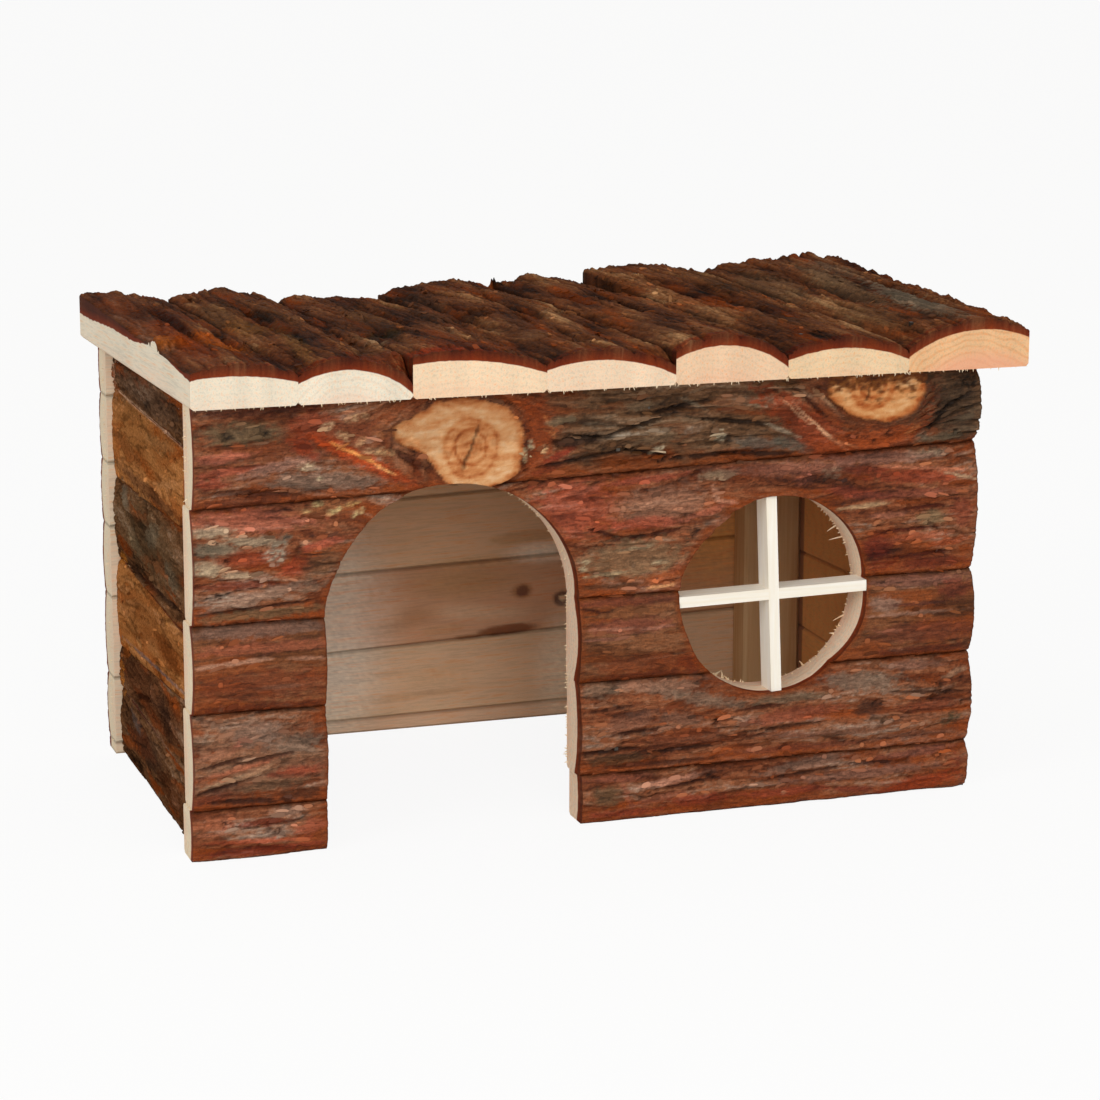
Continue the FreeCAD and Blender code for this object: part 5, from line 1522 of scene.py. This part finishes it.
# %% [markdown]
# ## Torn fibres
# A coarse saw tears the wood, so fine splinters stand along the edges: under the front of the roof,
# down the left corner, round the window and the doorway. Geometry Nodes puts them there: a cone
# less than a millimetre thick on each place along an edge that is picked, pointing away from the
# wood and tilted by chance. A few long ones in the window have places of their own.

# %% Splinters as a tree of nodes
def splinter_tree():
    """Thin bent cones on some of a mesh's vertices, each pointing away from the wood."""
    tree, given = node_group("Torn fibres", (("Share that carries one", "Float"),
                                             ("Longest", "Float"), ("Thickness", "Float"),
                                             ("Seed", "Int"), ("Finish", "Material")))
    seed, thickness = given["Seed"], given["Thickness"]
    spots = add(tree, "GeometryNodeMeshToPoints", {"Mesh": given["Geometry"]})
    picked = add(tree, "FunctionNodeRandomValue", {"Probability": given["Share that carries one"],
                                                   "Seed": seed}, data_type="BOOLEAN")
    away = add(tree, "GeometryNodeInputNamedAttribute", {"Name": "away"}, data_type="FLOAT_VECTOR")
    tilt = add(tree, "FunctionNodeRandomValue", {0: (-0.6, -0.6, -0.6), 1: (0.6, 0.6, 0.6),
                                                 "Seed": seed}, data_type="FLOAT_VECTOR")
    aim = add(tree, "ShaderNodeVectorMath", {0: away, 1: tilt}, operation="ADD")
    turned = add(tree, "FunctionNodeAlignRotationToVector", {"Vector": aim}, axis="Z")
    part = add(tree, "FunctionNodeRandomValue", {2: 0.25, 3: 1.0, "Seed": seed},
               data_type="FLOAT")
    long = add(tree, "ShaderNodeMath", {0: part, 1: given["Longest"]}, operation="MULTIPLY")
    size = add(tree, "ShaderNodeCombineXYZ", {"X": thickness, "Y": thickness, "Z": long})
    cone = add(tree, "GeometryNodeMeshCone", {"Vertices": 4, "Side Segments": 3,
                                              "Radius Top": 0.15, "Radius Bottom": 1.0,
                                              "Depth": 1.0})
    spot = add(tree, "GeometryNodeInputPosition")
    bend = add(tree, "ShaderNodeTexNoise", {"Vector": spot, "Scale": 1.3})
    shift = add(tree, "ShaderNodeVectorMath", {0: bend.outputs["Color"], 1: (-0.5, -0.5, -0.5)},
                operation="ADD")
    curved = add(tree, "GeometryNodeSetPosition", {"Geometry": cone, "Offset": shift})
    placed = add(tree, "GeometryNodeInstanceOnPoints",
                 {"Points": spots, "Selection": picked, "Instance": curved, "Rotation": turned,
                  "Scale": size})
    return finished(tree, given, placed)


# %% Where splinters stand
def edge_object(name, places, away):
    """Loose vertices along an edge (mm), each with the direction away from the wood."""
    mesh = bpy.data.meshes.new(name)
    mesh.from_pydata((np.array(places) * MM).tolist(), [], [])
    put(mesh, "away", "FLOAT_VECTOR", "vector", np.array(away))
    return new_object(name, mesh)


WINDOW_RIM, DOOR_RIM = WINDOW_DIAMETER / 2 + 0.2, DOOR_WIDTH / 2 + 0.2   # just inside the wood


def roof_underside():
    """Under the roof: its front edge, and its right edge, which slopes out to the back."""
    places = [(x, -79.6, WALL_HEIGHT + 0.3) for x in np.arange(-139, 139, 0.55)]
    places += [(139.4 + ROOF_EDGE_RUN[-1] * (y + ROOF_DEPTH / 2) / ROOF_DEPTH, y, WALL_HEIGHT + 0.3)
               for y in np.arange(-79, 40, 1.4)]
    return places, [(0, -0.35, -1)] * len(places)


def left_corners():
    """Down the house's two left corners."""
    places = [(-138.4, FRONT_INNER - 4, z) for z in np.arange(2, 143, 1.1)]
    places += [(-139.6, BACK_INNER + 5, z) for z in np.arange(2, 143, 0.6)]
    return places, [(-1, -0.2, 0)] * len(places)


def round_rim(x, z, radius, degrees, depths):
    """Round an opening: each angle at each depth, pointing to the opening's middle."""
    places, away = [], []
    for angle in np.radians(degrees):
        for y in depths:
            places.append((x + radius * math.cos(angle), y, z + radius * math.sin(angle)))
            away.append((-math.cos(angle), 0.0, -math.sin(angle)))
    return places, away


def window_rim():
    """Round the window, except its upper left."""
    return round_rim(WINDOW_X, WINDOW_Z, WINDOW_RIM, np.arange(-150, 70, 1.6), (-60.4, -61.5))


def door_rim():
    """Round the doorway's head and down its right side."""
    places, away = round_rim(DOOR_X, DOOR_SPRING, DOOR_RIM, np.arange(5, 175, 1.3), (-60.4, -66.0))
    for z in np.arange(18, DOOR_SPRING, 0.9):
        places.append((DOOR_X + DOOR_RIM, -60.4, z))
        away.append((-1, 0, 0))
    return places, away


def long_splinters():
    """The long splinters that hang in the window, each by its angle and its direction."""
    ends = ((34, (-0.9, 0, 0.0)), (38, (-0.9, 0, 0.35)), (26, (-1, 0, 0.1)),
            (-22, (-0.9, 0, -0.25)), (-27, (-0.9, 0, -0.3)), (-34, (-0.8, 0, -0.1)),
            (-112, (0.1, 0, 0.9)), (-118, (0.8, 0, 0.6)), (-108, (-0.6, 0, 0.8)),
            (-60, (-0.8, 0, 0.3)))
    places = [(WINDOW_X + WINDOW_RIM * math.cos(math.radians(angle)), -60.3,
               WINDOW_Z + WINDOW_RIM * math.sin(math.radians(angle))) for angle, _ in ends]
    return places, [way for _, way in ends]


# %% Splinters on the edges
fibre_wood = planed_material("Torn pine fibre", "F4E2C2", "DDB98A", "X")
torn = splinter_tree()
for name, edge, share, longest, thick, seed in (   # longest and thick are in metres
        ("fibres_roof", roof_underside, 0.34, 0.0014, 0.00028, 2),
        ("fibres_left_corner", left_corners, 0.5, 0.0014, 0.00022, 4),
        ("fibres_window", window_rim, 0.3, 0.0013, 0.00034, 6),
        ("fibres_doorway", door_rim, 0.45, 0.0014, 0.00028, 7),
        ("splinters_window", long_splinters, 1.0, 0.0062, 0.00042, 9)):
    fibres = edge_object(name, *edge())
    grow(fibres, torn, {"Share that carries one": share, "Longest": longest, "Thickness": thick,
                        "Seed": seed, "Finish": fibre_wood})
    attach(fibres, "root")
    print(name, len(fibres.data.polygons), "faces")


# %% [markdown]
# ## Posts, cross and brads
# These solids already have their real shape, so they stay and get better materials. The posts are
# planed pine, the cross in the window is a pair of clean pale laths, and the brads are steel wire
# that has gone dark.

# %% Materials of the carried-over solids
def brad_material():
    """Steel wire whose shine varies in fine marks."""
    material, tree = new_material("Dull steel wire")
    place = add(tree, "ShaderNodeTexCoord").outputs["Object"]
    marks = add(tree, "ShaderNodeTexNoise", {"Vector": place, "Scale": 1400.0, "Detail": 3.0})
    dull = add(tree, "ShaderNodeMapRange", {"Value": marks, "To Min": 0.28, "To Max": 0.5})
    shader = add(tree, "ShaderNodeBsdfPrincipled", {"Base Color": linear("5C5650"),
                                                    "Metallic": 1.0, "Roughness": dull})
    add(tree, "ShaderNodeOutputMaterial", {"Surface": shader})
    return material


FINISHES = {   # by how a node's name ends
    "_post": planed_material("Planed pine post", "D8B486", "C09060", "Z"),
    "_bar_level": planed_material("Planed lath, level", "FFFBF2", "F8EEDA", "X"),
    "_bar_upright": planed_material("Planed lath, upright", "FFFBF2", "F8EEDA", "Z"),
    "_brads": brad_material(),
}
for node, obj in frame["nodes"].items():
    for ending, finish in FINISHES.items():
        if node.endswith(ending):
            obj.data.materials.clear()
            obj.data.materials.append(finish)
print("dressed solids:", sorted(n for n in frame["nodes"] if "slab" not in n))


# %% [markdown]
# ## Floor and light
# The house stands on a plain pale floor in soft studio light: one broad lamp in front, a weaker
# one to the left, and an even pale sky that fills the shadows. The camera sees the floor nearly
# white, and the sky behind it plain white.

# %% Studio
WHITE = (1, 1, 1, 1)


def seen_directly(tree):
    """1 for rays that come from the camera or pass through glass, 0 for light that bounces."""
    path = add(tree, "ShaderNodeLightPath")
    return add(tree, "ShaderNodeMath", {0: path.outputs["Is Camera Ray"],
                                        1: path.outputs["Is Transmission Ray"]},
               operation="MAXIMUM")


def floor_material():
    """Pale paper that glows where the camera sees it, so it is nearly white in the picture."""
    material, tree = new_material("Pale studio paper")
    share = add(tree, "ShaderNodeMath", {0: seen_directly(tree), 1: 0.90}, operation="MULTIPLY")
    paper = add(tree, "ShaderNodeBsdfDiffuse", {"Color": linear("F2F2F0")})
    glow = add(tree, "ShaderNodeEmission", {"Color": WHITE, "Strength": 1.01})
    mixed = add(tree, "ShaderNodeMixShader", {0: share, 1: paper, 2: glow})
    add(tree, "ShaderNodeOutputMaterial", {"Surface": mixed})
    return material


bpy.ops.mesh.primitive_plane_add(size=60.0, location=(0, 0, 0))
floor = bpy.context.object
floor.name = "floor"
floor.data.materials.append(floor_material())

world = bpy.data.worlds.new("Pale studio")
bpy.context.scene.world = world
world.use_nodes = True
tree = world.node_tree
tree.nodes.clear()
seen = seen_directly(tree)
fill = add(tree, "ShaderNodeBackground", {"Color": linear("FBF8F3"), "Strength": 0.50})
white = add(tree, "ShaderNodeBackground", {"Color": WHITE, "Strength": 1.0})
sky = add(tree, "ShaderNodeMixShader", {0: seen, 1: fill, 2: white})
add(tree, "ShaderNodeOutputWorld", {"Surface": sky})


def softbox(name, place, target, size, watts):
    """A square lamp at a place in metres, turned to a target."""
    lamp = bpy.data.lights.new(name, "AREA")
    lamp.shape, lamp.size, lamp.energy = "SQUARE", size, watts
    obj = new_object(name, lamp)
    obj.location = place
    obj.rotation_euler = (Vector(target) - Vector(place)).to_track_quat("-Z", "Y").to_euler()


softbox("front softbox", (-0.35, -1.7, 0.75), (0.0, 0.0, 0.06), 1.0, 13.0)
softbox("left softbox", (-1.5, -0.9, 0.9), (0.0, 0.0, 0.08), 0.9, 8.0)

print("lamps:", [lamp.name for lamp in bpy.data.lights])


# %% [markdown]
# ## Camera
# The camera stands a good metre from the house, to the left of it and above it, so that the front,
# the left side and the ends of the roof are seen together. A long lens keeps the upright edges
# nearly parallel.

# %% Camera
CAMERA_PLACE = (-0.3342, -0.9936, 0.3044)   # metres
YAW, PITCH, ROLL = math.radians(18.65), math.radians(12.31), math.radians(-0.08)
LENS, SENSOR_WIDTH = 102.37, 36.0           # mm
camera = new_object("camera", bpy.data.cameras.new("camera"))
camera.location = CAMERA_PLACE
ahead = Vector((math.sin(YAW) * math.cos(PITCH), math.cos(YAW) * math.cos(PITCH), -math.sin(PITCH)))
camera.rotation_mode = "QUATERNION"
turn = ahead.to_track_quat("-Z", "Y")
turn.rotate(Quaternion(ahead, ROLL))
camera.rotation_quaternion = turn
camera.data.sensor_width, camera.data.lens = SENSOR_WIDTH, LENS
camera.data.clip_start, camera.data.clip_end = 0.05, 20.0
bpy.context.scene.camera = camera
bpy.context.scene.view_settings.view_transform = "Standard"
print("camera:", [round(value, 3) for value in camera.location])
